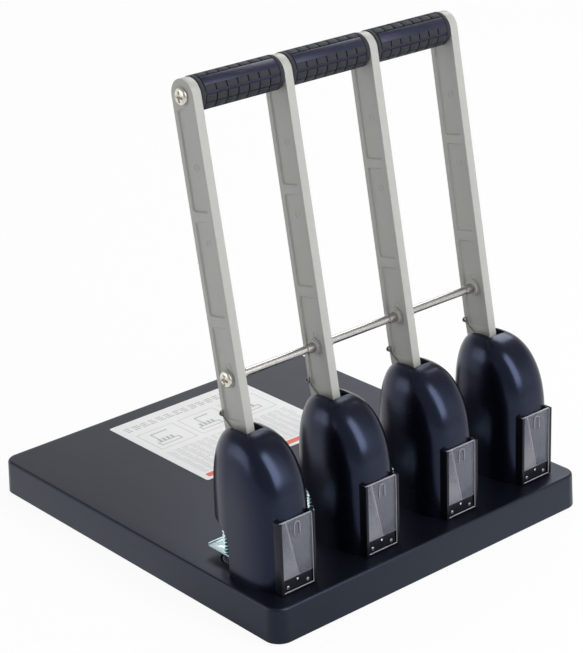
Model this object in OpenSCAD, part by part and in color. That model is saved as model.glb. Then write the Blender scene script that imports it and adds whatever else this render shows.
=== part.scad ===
// Heavy duty four-hole paper punch: four punch heads on one base, worked by a common lever.
// X runs along the row of heads, Y from the window side to the label side, Z up.
// The origin is under the middle of the base, at the level of the feet.

/* [Base] */
// Width of the base along the row of heads
base_w = 307.5; // [295:0.5:340]
// Depth of the base from the window side to the label side
base_d = 339; // [320:0.5:380]
// Height of the base cover
base_h = 27; // [24:0.5:34]
// Radius of the upright corners of the base
base_corner_r = 12.5; // [8:0.5:20]
// Wall of the base cover
base_wall = 3; // [2.4:0.1:4]
// Thickness of the steel plate that closes the base
base_plate_t = 2; // [1.5:0.1:3]
// Gap between the base plate and the cover around it
base_plate_gap = 0.3; // [0.2:0.05:0.6]
// Height of the rubber feet
foot_h = 2; // [2:0.1:4]
// Diameter of the rubber feet
foot_d = 22; // [14:1:30]
// Distance of the feet from the sides of the base
foot_inset = 24; // [20:1:40]
// Distance of the base screws from the sides of the base
base_screw_inset = 45; // [42:1:60]
// Diameter of the base screws
base_screw_d = 3.5; // [3:0.1:4]
// Diameter of the base screws' heads
base_screw_head_d = 7; // [6:0.1:8]
// Height of the base screws' heads
base_screw_head_h = 1.4; // [1:0.1:1.6]

/* [Label] */
// Width of the label
label_w = 137; // [80:1:160]
// Depth of the label
label_d = 129; // [80:1:140]
// Thickness of the label
label_t = 0.3; // [0.2:0.05:0.6]
// Distance of the label from the rear edge of the base
label_inset = 18.5; // [8:0.5:30]
// Distance of the label's middle from the middle of the base, along the row
label_shift = 8; // [-40:1:40]

/* [Heads] */
// Distance between the two middle punches
head_pitch = 80; // [70:0.5:84]
// Distance of the outer punches from the sides of the base
head_margin = 33.75; // [31:0.25:36]
// Distance of the punches from the window side of the base
punch_setback = 79.75; // [74:0.25:90]
// Diameter of the punched hole
punch_d = 6; // [5:0.1:7]
// Bore of the hollow punch pin
punch_bore_d = 4; // [3:0.1:4.4]
// Diameter of a cutting disc
disc_d = 26; // [20:0.5:28]
// Thickness of a cutting disc
disc_t = 5; // [4:0.1:6]
// How far a cutting disc stands above the base
disc_proud = 0.5; // [0.2:0.1:0.8]

/* [Hood] */
// Half the width of a hood
hood_half_w = 24; // [23:0.5:28]
// Length of a hood from the throat's edge to its front
hood_front = 44.5; // [43:0.5:50]
// Length of a hood from the throat's edge to its back
hood_back = 29; // [28:0.5:32]
// Height of a hood above the base
hood_top = 109; // [107:0.5:120]
// Height at which a hood starts to round off
dome_start = 48.5; // [46:0.5:56]
// Wall of a hood
hood_wall = 2.2; // [1.8:0.1:2.6]
// Half the width of the slot that the arm passes through
slot_half_w = 8; // [7:0.25:9]
// Gap between the front edge of that slot and the arm
slot_gap = 5.1; // [0.4:0.1:6]
// Height of the bottom of that slot in the back of a hood
slot_low = 50; // [48:0.5:51]
// Height of the paper throat
throat_h = 38.5; // [36:0.5:39]
// Radius in the upper corner of the throat
throat_r = 15; // [8:0.5:18]
// Distance of the throat's edge from the punch
throat_depth = 17.8; // [16.5:0.1:19]

/* [Window] */
// Width of the clear chip window that shows
window_w = 27.3; // [22:0.1:28]
// Height of the top of the chip window above the base
window_top = 55.6; // [50:0.1:60]
// Thickness of the chip window
window_t = 1.8; // [1.4:0.1:2.2]
// Width of each side of the window's frame
window_side = 2.3; // [2.2:0.1:3.6]
// Depth of the groove that holds the window on each side
window_groove = 1.2; // [0.8:0.1:1.6]
// Height of the strip below the window
window_strip = 8; // [7:0.5:11]
// How far that strip lies behind the frame's face
strip_recess = 1.9; // [0.5:0.1:2]
// How far the frame stands out in front of the hood
window_proud = 3.3; // [3:0.1:5]
// Running gap between the window and its grooves
window_gap = 0.2; // [0.1:0.05:0.3]
// Diameter of the window's small screws
window_screw_d = 1.6; // [1.4:0.1:2.2]

/* [Lever] */
// Thickness of an arm
arm_t = 7; // [6.6:0.1:8.6]
// Lean of the arms at rest, in degrees
arm_lean = 9.7; // [9:0.1:11]
// Width of an arm at its top
arm_w_top = 24; // [20:0.5:25]
// Width of an arm where it leaves the hood
arm_w_low = 25.5; // [25:0.25:28]
// Depth of the panels in the faces of an arm
panel_depth = 1.3; // [0.6:0.1:2]
// Width of the rim around those panels
panel_rim = 4; // [3:0.25:5]
// Height of the handle's axis above the base
handle_up = 337; // [300:1:360]
// Distance of the handle's axis behind the punches
handle_back = 33.2; // [32:0.1:34]
// Diameter of the handle bar
handle_bar_d = 10; // [8:0.5:12]
// Diameter of a grip
grip_d = 25; // [20:0.5:28]
// Gap between a grip and the arms beside it
grip_gap = 0.3; // [0.2:0.05:0.6]
// Height of the tie rod above the base
tie_up = 141; // [132:0.5:150]
// How far the tie rod sits behind the middle of an arm
tie_shift = 0; // [-2:0.1:2]
// Diameter of the tie rod
tie_d = 6; // [5:0.1:8]
// Diameter of the bosses around the tie rod
tie_boss_d = 11; // [9:0.5:13]
// Height of those bosses
tie_boss_h = 1.5; // [1:0.1:2]
// Diameter of the heads of the handle and tie rod screws
end_screw_head_d = 11.5; // [9:0.5:13]
// Height of those heads
end_screw_head_h = 3.6; // [2.5:0.1:4.5]
// Diameter of the handle and tie rod screws
end_screw_d = 4; // [3:0.1:4.2]
// Length of those screws inside the rod
end_screw_len = 14; // [8:1:20]

/* [Mechanism] */
// Height of the lever's pivot above the base
pivot_up = 74; // [73:0.5:75]
// Distance of the pivot in front of the punches
pivot_front = 34.5; // [34:0.25:35]
// Diameter of the pivot pins
pivot_d = 8; // [7:0.5:9]
// Distance of the crank pins from the pivot
crank_r = 36; // [35.5:0.1:36.2]
// Diameter of the crank pins
crank_d = 6; // [5:0.25:6.5]
// Swing of the lever, in degrees
lever_swing = 60; // [50:1:60]
// Clearance between a pin and its bore, on the radius
pin_gap = 0.05; // [0.02:0.01:0.1]
// Play of a crank pin in the slot of its punch holder
crank_play = 0.6; // [0.5:0.05:0.8]
// Gap between an arm and the parts beside it
side_gap = 0.4; // [0.3:0.05:0.6]
// Thickness of the cheeks of a punch holder
holder_cheek = 3; // [2.5:0.1:3.2]
// Thickness of the cheeks of a head frame
frame_cheek = 2.5; // [2:0.1:3]
// Distance of those cheeks' inner faces from the middle of a head
frame_half_in = 10.5; // [10.4:0.1:11]
// Thickness of the bridge that guides the punch
bridge_t = 6; // [5:0.1:6.4]
// Thickness of the foot of a head frame
frame_foot_t = 3; // [2:0.1:4]
// Diameter of the bolts that hold a head frame
frame_bolt_d = 5; // [4:0.1:6]
// Outer diameter of the punch's guide bush
bush_d = 10; // [9:0.1:11]
// Diameter of the screws that hold a hood
hood_screw_d = 3; // [2.5:0.1:3.4]

/* [Presser] */
// Height of the top of the presser plate above the base
presser_up = 8; // [7:0.25:10]
// Thickness of the presser plate
presser_t = 1.5; // [1:0.1:2]
// Half the width of the presser plate
presser_half_w = 14; // [13:0.25:16]
// Length of the presser plate behind the punch
presser_back = 20; // [16:0.5:24]
// Radius of the corners of the presser plate
presser_corner_r = 3; // [1:0.5:5]
// Distance of the presser's springs from the punch
spring_out = 11; // [10.8:0.05:11.2]
// Outer diameter of the presser's springs
spring_d = 6.4; // [5.6:0.1:6.6]
// Wire of the presser's springs
spring_wire = 1.2; // [0.9:0.05:1.3]
// Number of turns in a presser spring
spring_turns = 10; // [6:1:10]
// Diameter of the rods inside the springs
rod_d = 3; // [2.5:0.1:3.2]
// Wire of the lever's return springs
return_wire = 1.2; // [0.8:0.05:1.3]
// Radius of the coil of a return spring
return_coil_r = 7; // [6.4:0.1:8]
// Height at which a return spring hooks behind its arm
hook_up = 113.5; // [112:0.25:116]

/* [Hidden] */
$fn = 48;
HEADS = [1, 2, 3, 4];
SIDES = [-1, 1];
cut = 1;
seat_gap = 0.2;
spring_rings = 7;
spring_sides = 6;
hood_steps = 36;
hood_levels = 9;
return_turns = 2.25;
return_rings = 8;
return_lead = 6;

base_top = foot_h + base_h;
punch_y = -base_d / 2 + punch_setback;
outer_x = base_w / 2 - head_margin;
head_xs = [-outer_x, -head_pitch / 2, head_pitch / 2, outer_x];
function head_x(i) = head_xs[i - 1];

// Shape of the hood, as powers of its rounded outlines
front_power = 3.25;
back_power = 2;
dome_front_power = 2.2;
dome_side_power = 3.3;
dome_back_power = 3.2;
dome_cap = 0.985;

// Places around one head, from the punch's axis and the base's top
throat_y = -throat_depth;
hood_front_y = throat_y - hood_front;
window_front_y = hood_front_y - window_proud;
lean_slope = tan(arm_lean);
arm_taper = (arm_w_low - arm_w_top) / (handle_up - hood_top);
function arm_mid(z) = handle_back - (handle_up - z) * lean_slope;
function arm_half(z) = (arm_w_top + (handle_up - z) * arm_taper) / 2;
function arm_front(z) = arm_mid(z) - arm_half(z);
function arm_rear(z) = arm_mid(z) + arm_half(z);

pivot = [-pivot_front, pivot_up];
crank_rise = crank_r * sin(lever_swing / 2);
crank = [pivot[0] + crank_r * cos(lever_swing / 2), pivot[1] + crank_rise];
punch_stroke = 2 * crank_rise;
// Metal around the bores, and how far the straight arm runs down into the hood
pivot_wall = 7;
crank_wall = 3;
arm_sink = 6;
pivot_lobe_r = pivot_d / 2 + pivot_wall;
crank_lobe_r = crank_d / 2 + crank_wall;
arm_foot = hood_top - arm_sink;
web_rise = 10;
// Notch under the crank pin that clears the punch holder
notch_length = 13.2;
notch_edge = 7.2;
notch_far = [-notch_length, -crank_rise];
tie = [arm_mid(tie_up) + tie_shift, tie_up];
handle = [handle_back, handle_up];

bridge_low = throat_h;
bridge_top = bridge_low + bridge_t;
punch_clear = 0.3;
punch_tip = disc_proud + punch_clear + punch_stroke;
holder_clear = 0.5;
holder_low = bridge_top + holder_clear + punch_stroke;
holder_floor = crank[1] - crank_lobe_r - crank_play;
holder_top = crank[1] + crank_lobe_r + holder_clear;
holder_half_in = arm_t / 2 + side_gap;
holder_half = holder_half_in + holder_cheek;
crank_sway = crank_r * (1 - cos(lever_swing / 2));
holder_web = 2.5;
holder_front = crank[0] - crank_d / 2 - crank_play - holder_web;
holder_rear = crank[0] + crank_sway + crank_d / 2;

frame_half = frame_half_in + frame_cheek;
frame_clear = 1;
frame_front = pivot[0] - pivot_lobe_r;
frame_rear = throat_y - hood_wall - frame_clear;
foot_front = hood_front_y + hood_wall + 4 * frame_clear;
bolt_edge = 7;
bolt_ys = [foot_front + bolt_edge, frame_rear - bolt_edge];
bolt_head_h = 3.5;
bolt_head_d = frame_bolt_d + bolt_head_h;
bolt_len = 18;
hood_boss_wall = 1.7;
hood_boss_d = hood_screw_d + 2 * hood_boss_wall;
hood_boss_h = 10;
hood_screw_head_d = 2 * hood_screw_d;
hood_boss = [hood_half_w - hood_wall - hood_boss_d / 2, throat_y - hood_front / 2];
hood_screw_head_h = 2;
screw_head_gap = 0.5;
head_room = hood_screw_head_h + screw_head_gap;
clip_t = 1;
clip_rim = 2.5;
clip_d = pivot_d + 2 * clip_rim;
seat_r = spring_d / 2 + side_gap;
bush_wall = 2.5;
chip_hole_half = 7;
chip_hole_rim = 3;

lever_half = head_x(4) + arm_t / 2;
window_half = window_w / 2;
frame_w_half = window_half + window_side;
strip_low = 0.5;
frame_rise = window_top + strip_low;
window_lip = 1;
window_hood_rim = 4;
window_depth = window_proud + hood_front / 5;
hood_seat_gap = 0.15;
window_screw_edge = 4.6;
window_screw_x = window_half - window_screw_edge;
window_screw_rise = 4;
window_screw_z = strip_low + window_screw_rise;
window_screw_head_d = 2 * window_screw_d;
window_screw_head_h = 0.8;
strip_rim = 1;
window_screw_len = window_proud - strip_recess - hood_seat_gap;
ring_d = 10;
ring_bore = 7;
ring_t = 1.2;
ring_drop = 9;

arm_grey = [0.66, 0.66, 0.63];
satin_black = [0.09, 0.09, 0.1];
zinc = [0.78, 0.82, 0.84];
nickel = [0.75, 0.74, 0.7];
steel = [0.6, 0.6, 0.62];
bronze = [0.75, 0.62, 0.35];
disc_ivory = [0.8, 0.78, 0.72];
clear_pane = [0.75, 0.78, 0.8, 0.5];
grip_black = [0.12, 0.12, 0.14];

// Placing helpers

module at_head(i) {
    translate([head_x(i), punch_y, base_top]) children();
}

module at_each_head() {
    for (i = HEADS) at_head(i) children();
}

// A profile drawn in Y and Z, extruded to a slab from x0 to x1
module slab(x0, x1) {
    translate([x0, 0, 0]) rotate([90, 0, 90]) linear_extrude(x1 - x0) children();
}

// The span from a to b on one side of the middle, from low to high
function side_span(s, a, b) = s > 0 ? [a, b] : [-b, -a];

module slab_at(span) {
    slab(span[0], span[1]) children();
}

// A round bar along X at a place in Y and Z
module bar_x(place, d, x0, x1) {
    translate([x0, place[0], place[1]]) rotate([0, 90, 0]) cylinder(d = d, h = x1 - x0);
}

module box(low, high) {
    translate(low) cube(high - low);
}

module rounded_rect(w, d, r) {
    square([w - 2 * r, d], center = true);
    square([w, d - 2 * r], center = true);
    for (sx = SIDES, sy = SIDES) translate([sx * (w / 2 - r), sy * (d / 2 - r)]) circle(r);
}

// A tube of round wire along a path

function unit(v) = v / norm(v);
function tangent(path, i) = unit(path[min(i + 1, len(path) - 1)] - path[max(i - 1, 0)]);
function square_to(v, t) = unit(v - (v * t) * t);
function frames(path, start) = [
    for (i = 0, n = square_to(start, tangent(path, 0)); i < len(path);
        i = i + 1, n = i < len(path) ? square_to(n, tangent(path, i)) : n) n];
function least_gap(path, d, skip) = min([for (i = [0:len(path) - 1])
    for (j = [i + skip:len(path) - 1]) if (j < len(path)) norm(path[i] - path[j])]) - d;

module wire(path, d, start) {
    normals = frames(path, start);
    count = len(path);
    points = [for (i = [0:count - 1]) let (t = tangent(path, i), n = normals[i], b = cross(t, n))
        for (k = [0:spring_sides - 1]) let (a = 360 * k / spring_sides)
            path[i] + d / 2 * (cos(a) * n + sin(a) * b)];
    function at(i, k) = i * spring_sides + k % spring_sides;
    sides = [for (i = [0:count - 2], k = [0:spring_sides - 1]) each [
        [at(i, k), at(i + 1, k), at(i, k + 1)],
        [at(i, k + 1), at(i + 1, k), at(i + 1, k + 1)]]];
    first = [for (k = [1:spring_sides - 2]) [at(0, 0), at(0, k), at(0, k + 1)]];
    last = [for (k = [1:spring_sides - 2]) [at(count - 1, 0), at(count - 1, k + 1), at(count - 1, k)]];
    polyhedron(points, concat(sides, first, last));
}

// Base

module base_outline(inset) {
    rounded_rect(base_w - 2 * inset, base_d - 2 * inset, base_corner_r - inset);
}

// Three places down each long side of the base
function side_places(inset) = [for (sx = SIDES, sy = [-1, 0, 1])
    [sx * (base_w / 2 - inset), sy * (base_d / 2 - inset)]];
base_screw_places = side_places(base_screw_inset);
foot_places = side_places(foot_inset);
plate_top = foot_h + base_plate_t;
base_screw_len = 12;
disc_low = base_top + disc_proud - disc_t;
boss_wall = 3;
base_boss_d = base_screw_d + 2 * boss_wall;
bolt_boss_d = frame_bolt_d + 2 * boss_wall;
cover_low = base_top - base_wall;

module base_boss(place, d) {
    translate([place[0], place[1], plate_top]) cylinder(d = d, h = cover_low - plate_top + cut / 2);
}

module base_cover() {
    color(satin_black) difference() {
        union() {
            difference() {
                translate([0, 0, foot_h]) linear_extrude(base_h) base_outline(0);
                translate([0, 0, foot_h - cut]) linear_extrude(base_h - base_wall + cut)
                    base_outline(base_wall);
            }
            for (p = base_screw_places) base_boss(p, base_boss_d);
            for (i = HEADS, y = bolt_ys) base_boss([head_x(i), punch_y + y], bolt_boss_d);
            for (i = HEADS) translate([head_x(i), punch_y, disc_low - base_wall])
                cylinder(d = disc_d + 2 * base_wall, h = cover_low + cut / 2 - disc_low + base_wall);
        }
        for (p = base_screw_places) translate([p[0], p[1], plate_top - cut])
            cylinder(d = base_screw_d + 2 * pin_gap, h = base_screw_len + 2 * cut);
        at_each_head() {
            for (y = bolt_ys) translate([0, y, -bolt_len - cut])
                cylinder(d = frame_bolt_d + 2 * pin_gap, h = bolt_len + 2 * cut);
            for (s = SIDES) translate([s * hood_boss[0], hood_boss[1], -base_wall]) {
                translate([0, 0, -cut]) cylinder(d = hood_screw_d + 2 * pin_gap, h = base_wall + 2 * cut);
                translate([0, 0, -head_room])
                    cylinder(d = hood_screw_head_d + 2 * screw_head_gap, h = head_room);
            }
            translate([0, 0, disc_proud - disc_t]) cylinder(d = disc_d + 4 * pin_gap, h = disc_t + cut);
        }
    }
}

module base_plate() {
    color(zinc) translate([0, 0, foot_h]) linear_extrude(base_plate_t) difference() {
        base_outline(base_wall + base_plate_gap);
        for (p = base_screw_places) translate(p) circle(d = base_screw_d + 2 * pin_gap);
    }
}

module rubber_feet() {
    color("black") for (p = foot_places) translate(p) cylinder(d = foot_d, h = foot_h);
}

module base_screws() {
    color(nickel) for (p = base_screw_places) translate([p[0], p[1], foot_h]) {
        translate([0, 0, -base_screw_head_h]) cylinder(d = base_screw_head_d, h = base_screw_head_h);
        cylinder(d = base_screw_d, h = base_plate_t + base_screw_len);
    }
}

module instruction_label() {
    color("white") translate([label_shift, base_d / 2 - label_inset - label_d / 2, base_top])
        linear_extrude(label_t) square([label_w, label_d], center = true);
}

module cutting_discs() {
    color(disc_ivory) at_each_head() translate([0, 0, disc_proud - disc_t])
        cylinder(d = disc_d, h = disc_t);
}

module frame_bolts() {
    color(zinc) at_each_head() for (y = bolt_ys) translate([0, y, frame_foot_t]) {
        cylinder(d = bolt_head_d, h = bolt_head_h, $fn = 6);
        translate([0, 0, -frame_foot_t - bolt_len])
            cylinder(d = frame_bolt_d, h = bolt_len + frame_foot_t + cut);
    }
}

module hood_screws() {
    color(nickel) at_each_head() for (s = SIDES) translate([s * hood_boss[0], hood_boss[1], -base_wall]) {
        translate([0, 0, -hood_screw_head_h]) cylinder(d = hood_screw_head_d, h = hood_screw_head_h);
        cylinder(d = hood_screw_d, h = base_wall + hood_boss_h - 2 * cut);
    }
}

// Hoods

function power_round(t, p) = pow(max(0, 1 - pow(t, p)), 1 / p);
function signed_power(v, p) = sign(v) * pow(abs(v), p);

// One closed outline of the hood at height z, drawn in from its outside by inset
function hood_ring(z, top, inset) = let (t = max(0, (z - dome_start) / (top - dome_start)),
    side = power_round(t, dome_side_power), front = power_round(t, dome_front_power),
    back = power_round(t, dome_back_power))
    [for (k = [0:hood_steps - 1]) let (a = 360 * k / hood_steps, c = cos(a), s = sin(a),
        p = 2 / (s < 0 ? front_power : back_power),
        reach = s < 0 ? (hood_front - inset) * front : (hood_back - inset) * back)
        [(hood_half_w - inset) * side * signed_power(c, p), throat_y + reach * signed_power(s, p), z]];

module hood_solid(low, inset) {
    top = hood_top - inset;
    heights = concat([low], [for (k = [0:hood_levels])
        dome_start + (top - dome_start) * dome_cap * sin(90 * k / hood_levels)]);
    rings = [for (z = heights) hood_ring(z, top, inset)];
    count = len(heights);
    function at(i, k) = i * hood_steps + k % hood_steps;
    sides = [for (i = [0:count - 2], k = [0:hood_steps - 1]) each [
        [at(i, k), at(i + 1, k), at(i, k + 1)],
        [at(i, k + 1), at(i + 1, k), at(i + 1, k + 1)]]];
    floor = [[for (k = [0:hood_steps - 1]) at(0, k)]];
    roof = [[for (k = [hood_steps - 1:-1:0]) at(count - 1, k)]];
    polyhedron([for (r = rings) each r], concat(sides, floor, roof));
}

// The paper throat in Y and Z, grown by some wall
module throat_shape(grow) {
    r = throat_r - grow;
    low = -cut;
    y0 = throat_y - grow;
    z1 = throat_h + grow;
    difference() {
        translate([y0, low]) square([hood_back + grow + cut, z1 - low]);
        translate([y0, z1 - r]) difference() {
            translate([-cut, 0]) square([r + cut, r + cut]);
            translate([r, 0]) circle(r);
            translate([r, -cut]) square([cut, r + 2 * cut]);
        }
    }
}

module hood(i) {
    half = hood_half_w + cut;
    slot_front = arm_front(hood_top - 2 * hood_wall) - slot_gap;
    color(satin_black) at_head(i) difference() {
        union() {
            difference() {
                hood_solid(0, 0);
                difference() {
                    hood_solid(-cut, hood_wall);
                    slab(-half, half) intersection() {
                        throat_shape(hood_wall);
                        translate([throat_y - hood_wall, -2 * cut]) square([throat_r, throat_h + 2 * cut]);
                    }
                }
            }
            for (s = SIDES) translate([s * hood_boss[0], hood_boss[1], 0])
                cylinder(d = hood_boss_d, h = hood_boss_h);
        }
        slab(-half, half) throat_shape(0);
        box([-slot_half_w, slot_front, slot_low], [slot_half_w, hood_back, hood_top + cut]);
        box([-window_half, window_front_y, window_strip],
            [window_half, hood_front_y + window_depth, frame_rise - window_hood_rim]);
        for (s = SIDES) translate([s * hood_boss[0], hood_boss[1], -cut])
            cylinder(d = hood_screw_d + 2 * pin_gap, h = hood_boss_h);
    }
}

// Chip windows

module window_frame(i) {
    groove_front = window_front_y + window_lip;
    groove_depth = window_t + 2 * window_gap;
    color(satin_black) at_head(i) difference() {
        box([-frame_w_half, window_front_y, strip_low],
            [frame_w_half, window_front_y + window_depth, frame_rise]);
        box([-window_half, window_front_y - cut, window_strip], [window_half, 0, frame_rise + cut]);
        box([-window_half - window_groove - window_gap, groove_front, window_strip],
            [window_half + window_groove + window_gap, groove_front + groove_depth, frame_rise + cut]);
        box([-window_half, window_front_y - cut, strip_low + strip_rim],
            [window_half, window_front_y + strip_recess, window_strip + cut]);
        hood_solid(-cut, -hood_seat_gap);
        for (s = SIDES) translate([s * window_screw_x, window_front_y, window_screw_z])
            rotate([-90, 0, 0])
                cylinder(d = window_screw_d + 2 * pin_gap, h = strip_recess + window_screw_len + cut);
    }
}

module window_screws() {
    color(nickel) at_each_head() for (s = SIDES)
        translate([s * window_screw_x, window_front_y + strip_recess, window_screw_z]) rotate([-90, 0, 0]) {
            translate([0, 0, -window_screw_head_h])
                cylinder(d = window_screw_head_d, h = window_screw_head_h);
            cylinder(d = window_screw_d, h = window_screw_len);
        }
}

module chip_window(i) {
    front = window_front_y + window_lip + window_gap;
    color(clear_pane) at_head(i) {
        box([-window_half - window_groove, front, window_strip],
            [window_half + window_groove, front + window_t, window_top]);
        translate([0, front, window_top - ring_drop]) rotate([90, 0, 0]) difference() {
            cylinder(d = ring_d, h = ring_t);
            translate([0, 0, -cut]) cylinder(d = ring_bore, h = ring_t + 2 * cut);
        }
    }
}

// Head frames

module head_frame(i) {
    through = bridge_t + 2 * cut;
    color(zinc) at_head(i) difference() {
        union() {
            box([-frame_half, foot_front, 0], [frame_half, frame_rear, frame_foot_t]);
            for (s = SIDES) slab_at(side_span(s, frame_half_in, frame_half)) {
                translate([frame_front, frame_foot_t / 2])
                    square([frame_rear - frame_front, pivot[1] - frame_foot_t / 2]);
                translate(pivot) circle(pivot_lobe_r);
            }
            translate([0, 0, bridge_low]) linear_extrude(bridge_t) {
                translate([-frame_half, frame_front]) square([2 * frame_half, frame_rear - frame_front]);
                translate([-spring_out, frame_rear - cut])
                    square([2 * spring_out, cut - frame_rear + bush_d / 2]);
                for (s = SIDES) translate([s * spring_out, 0]) circle(seat_r);
                circle(d = bush_d + 2 * bush_wall);
            }
        }
        bar_x(pivot, pivot_d + 2 * pin_gap, -frame_half - cut, frame_half + cut);
        translate([0, 0, bridge_low - cut]) {
            cylinder(d = bush_d + 2 * pin_gap, h = through);
            for (s = SIDES) translate([s * spring_out, 0, 0]) cylinder(d = rod_d + 2 * pin_gap, h = through);
            translate([-chip_hole_half, frame_front + chip_hole_rim, 0])
                cube([2 * chip_hole_half, frame_rear - frame_front - 2 * chip_hole_rim, through]);
        }
        for (y = bolt_ys) translate([0, y, -cut])
            cylinder(d = frame_bolt_d + 2 * pin_gap, h = frame_foot_t + 2 * cut);
    }
}

module guide_bushes() {
    color(bronze) at_each_head() translate([0, 0, bridge_low]) difference() {
        cylinder(d = bush_d, h = bridge_t);
        translate([0, 0, -cut]) cylinder(d = punch_d + 2 * pin_gap, h = bridge_t + 2 * cut);
    }
}

module pivot_pins() {
    reach = frame_half + 2 * clip_t;
    color(steel) at_each_head() bar_x(pivot, pivot_d, -reach, reach);
}

module pivot_clips() {
    color(steel) at_each_head() for (s = SIDES) difference() {
        span = side_span(s, frame_half, frame_half + clip_t);
        bar_x(pivot, clip_d, span[0], span[1]);
        bar_x(pivot, pivot_d + 2 * pin_gap, span[0] - cut, span[1] + cut);
    }
}

// Presser plates

module presser_plate(i) {
    low = presser_up - presser_t;
    front = throat_y + presser_clear;
    color(zinc) at_head(i) difference() {
        union() {
            translate([0, (front + presser_back) / 2, low]) linear_extrude(presser_t)
                rounded_rect(2 * presser_half_w, presser_back - front, presser_corner_r);
            for (s = SIDES) translate([s * spring_out, 0, low])
                cylinder(d = rod_d, h = bridge_top + rod_over - low);
        }
        translate([0, 0, low - cut])
            cylinder(d = punch_d + 2 * presser_hole_gap, h = presser_t + 2 * cut);
    }
}

presser_clear = 6;
presser_hole_gap = 1;
rod_over = 3;
spring_r = (spring_d - spring_wire) / 2;
spring_low = presser_up + spring_wire / 2 + seat_gap;
spring_high = bridge_low - spring_wire / 2 - seat_gap;
spring_steps = spring_rings * spring_turns;
spring_path = [for (k = [0:spring_steps]) let (a = 360 * k / spring_rings)
    [spring_r * cos(a), spring_r * sin(a), spring_low + (spring_high - spring_low) * k / spring_steps]];
echo("least gap in a presser spring, mm:", least_gap(spring_path, spring_wire, spring_rings - 2));

module presser_springs(i) {
    color(zinc) at_head(i) for (s = SIDES) translate([s * spring_out, 0, 0])
        wire(spring_path, spring_wire, [1, 0, 0]);
}

// Punches

module punch_holder(i) {
    slot_r = crank_d / 2 + crank_play;
    color(steel) at_head(i) difference() {
        box([-holder_half, holder_front, holder_low], [holder_half, holder_rear, holder_top]);
        box([-holder_half_in, holder_front - cut, holder_floor],
            [holder_half_in, holder_rear + cut, holder_top + cut]);
        slab(-holder_half - cut, holder_half + cut) {
            translate(crank) circle(slot_r);
            translate([crank[0], crank[1] - slot_r]) square([holder_rear - crank[0] + cut, 2 * slot_r]);
        }
        translate([0, 0, holder_low - cut])
            cylinder(d = punch_d + 2 * pin_gap, h = holder_floor - holder_low + 2 * cut);
    }
}

module punch_pin(i) {
    exit_top = holder_low - cut;
    edge = 0.2;
    color(steel) at_head(i) difference() {
        translate([0, 0, punch_tip]) cylinder(d = punch_d, h = holder_floor - punch_tip);
        translate([0, 0, punch_tip - cut]) cylinder(d = punch_bore_d, h = exit_top - punch_tip + cut);
        translate([0, 0, punch_tip - cut])
            cylinder(d1 = punch_d - 2 * edge, d2 = punch_bore_d, h = 2 * cut);
        box([-punch_bore_d / 2, -punch_d, exit_top - bridge_t], [punch_bore_d / 2, 0, exit_top]);
    }
}

// Lever

module arm_outline() {
    web_top = arm_foot + web_rise;
    polygon([[arm_front(arm_foot), arm_foot], pivot + pivot_lobe_r * [cos(165), sin(165)],
        pivot + pivot_lobe_r * [cos(285), sin(285)], crank + notch_far, crank - [notch_edge, crank_lobe_r],
        crank - [0, crank_lobe_r], crank + [crank_lobe_r, 0], [arm_rear(web_top), web_top],
        [arm_rear(handle_up), handle_up], [arm_front(handle_up), handle_up]]);
    translate(handle) circle(arm_half(handle_up));
    translate(pivot) circle(pivot_lobe_r);
    translate(crank) circle(crank_lobe_r);
}

// The front (-1) or rear (1) corner of a panel whose end, square to the arm, crosses its middle at z
function panel_corner(z, s) = let (up = z - s * (arm_half(z) - panel_rim) * lean_slope)
    [arm_mid(up) + s * (arm_half(up) - panel_rim), up];

// A recess between two heights of an arm, inside its rim and around the seat of the tie rod
module arm_panel(z0, z1) {
    difference() {
        polygon([panel_corner(z0, -1), panel_corner(z1, -1), panel_corner(z1, 1), panel_corner(z0, 1)]);
        translate(tie) circle(d = tie_boss_d + 2 * tie_seat_rim);
    }
}

tie_seat_rim = 1;
panel_foot = 2;
panel_low = hood_top + panel_foot;
panel_high = handle_up - handle_bar_d / 2 - panel_rim;
function panel_z(f) = panel_low + f * (panel_high - panel_low);
// Where each panel starts and ends, as shares of the height they fill
panels = [[0, 0.305], [0.342, 0.646], [0.679, 1]];

module lever_arm(i) {
    half = arm_t / 2;
    color(arm_grey) at_head(i) difference() {
        union() {
            slab(-half, half) arm_outline();
            bar_x(tie, tie_boss_d, i == 1 ? 0 : -half - tie_boss_h, i == 4 ? 0 : half + tie_boss_h);
        }
        for (s = SIDES, p = panels)
            slab_at(side_span(s, half - panel_depth, half + cut))
                arm_panel(panel_z(p[0]), panel_z(p[1]));
        bar_x(pivot, pivot_d + 2 * pin_gap, -half - cut, half + cut);
        bar_x(crank, crank_d + 2 * pin_gap, -half - cut, half + cut);
        bar_x(tie, tie_d + 2 * pin_gap, -half - 2 * cut - tie_boss_h, half + 2 * cut + tie_boss_h);
        bar_x(handle, handle_bar_d + 2 * pin_gap, -half - cut, half + cut);
    }
}

module crank_pins() {
    color(steel) at_each_head() bar_x(crank, crank_d, -holder_half, holder_half);
}

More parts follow.
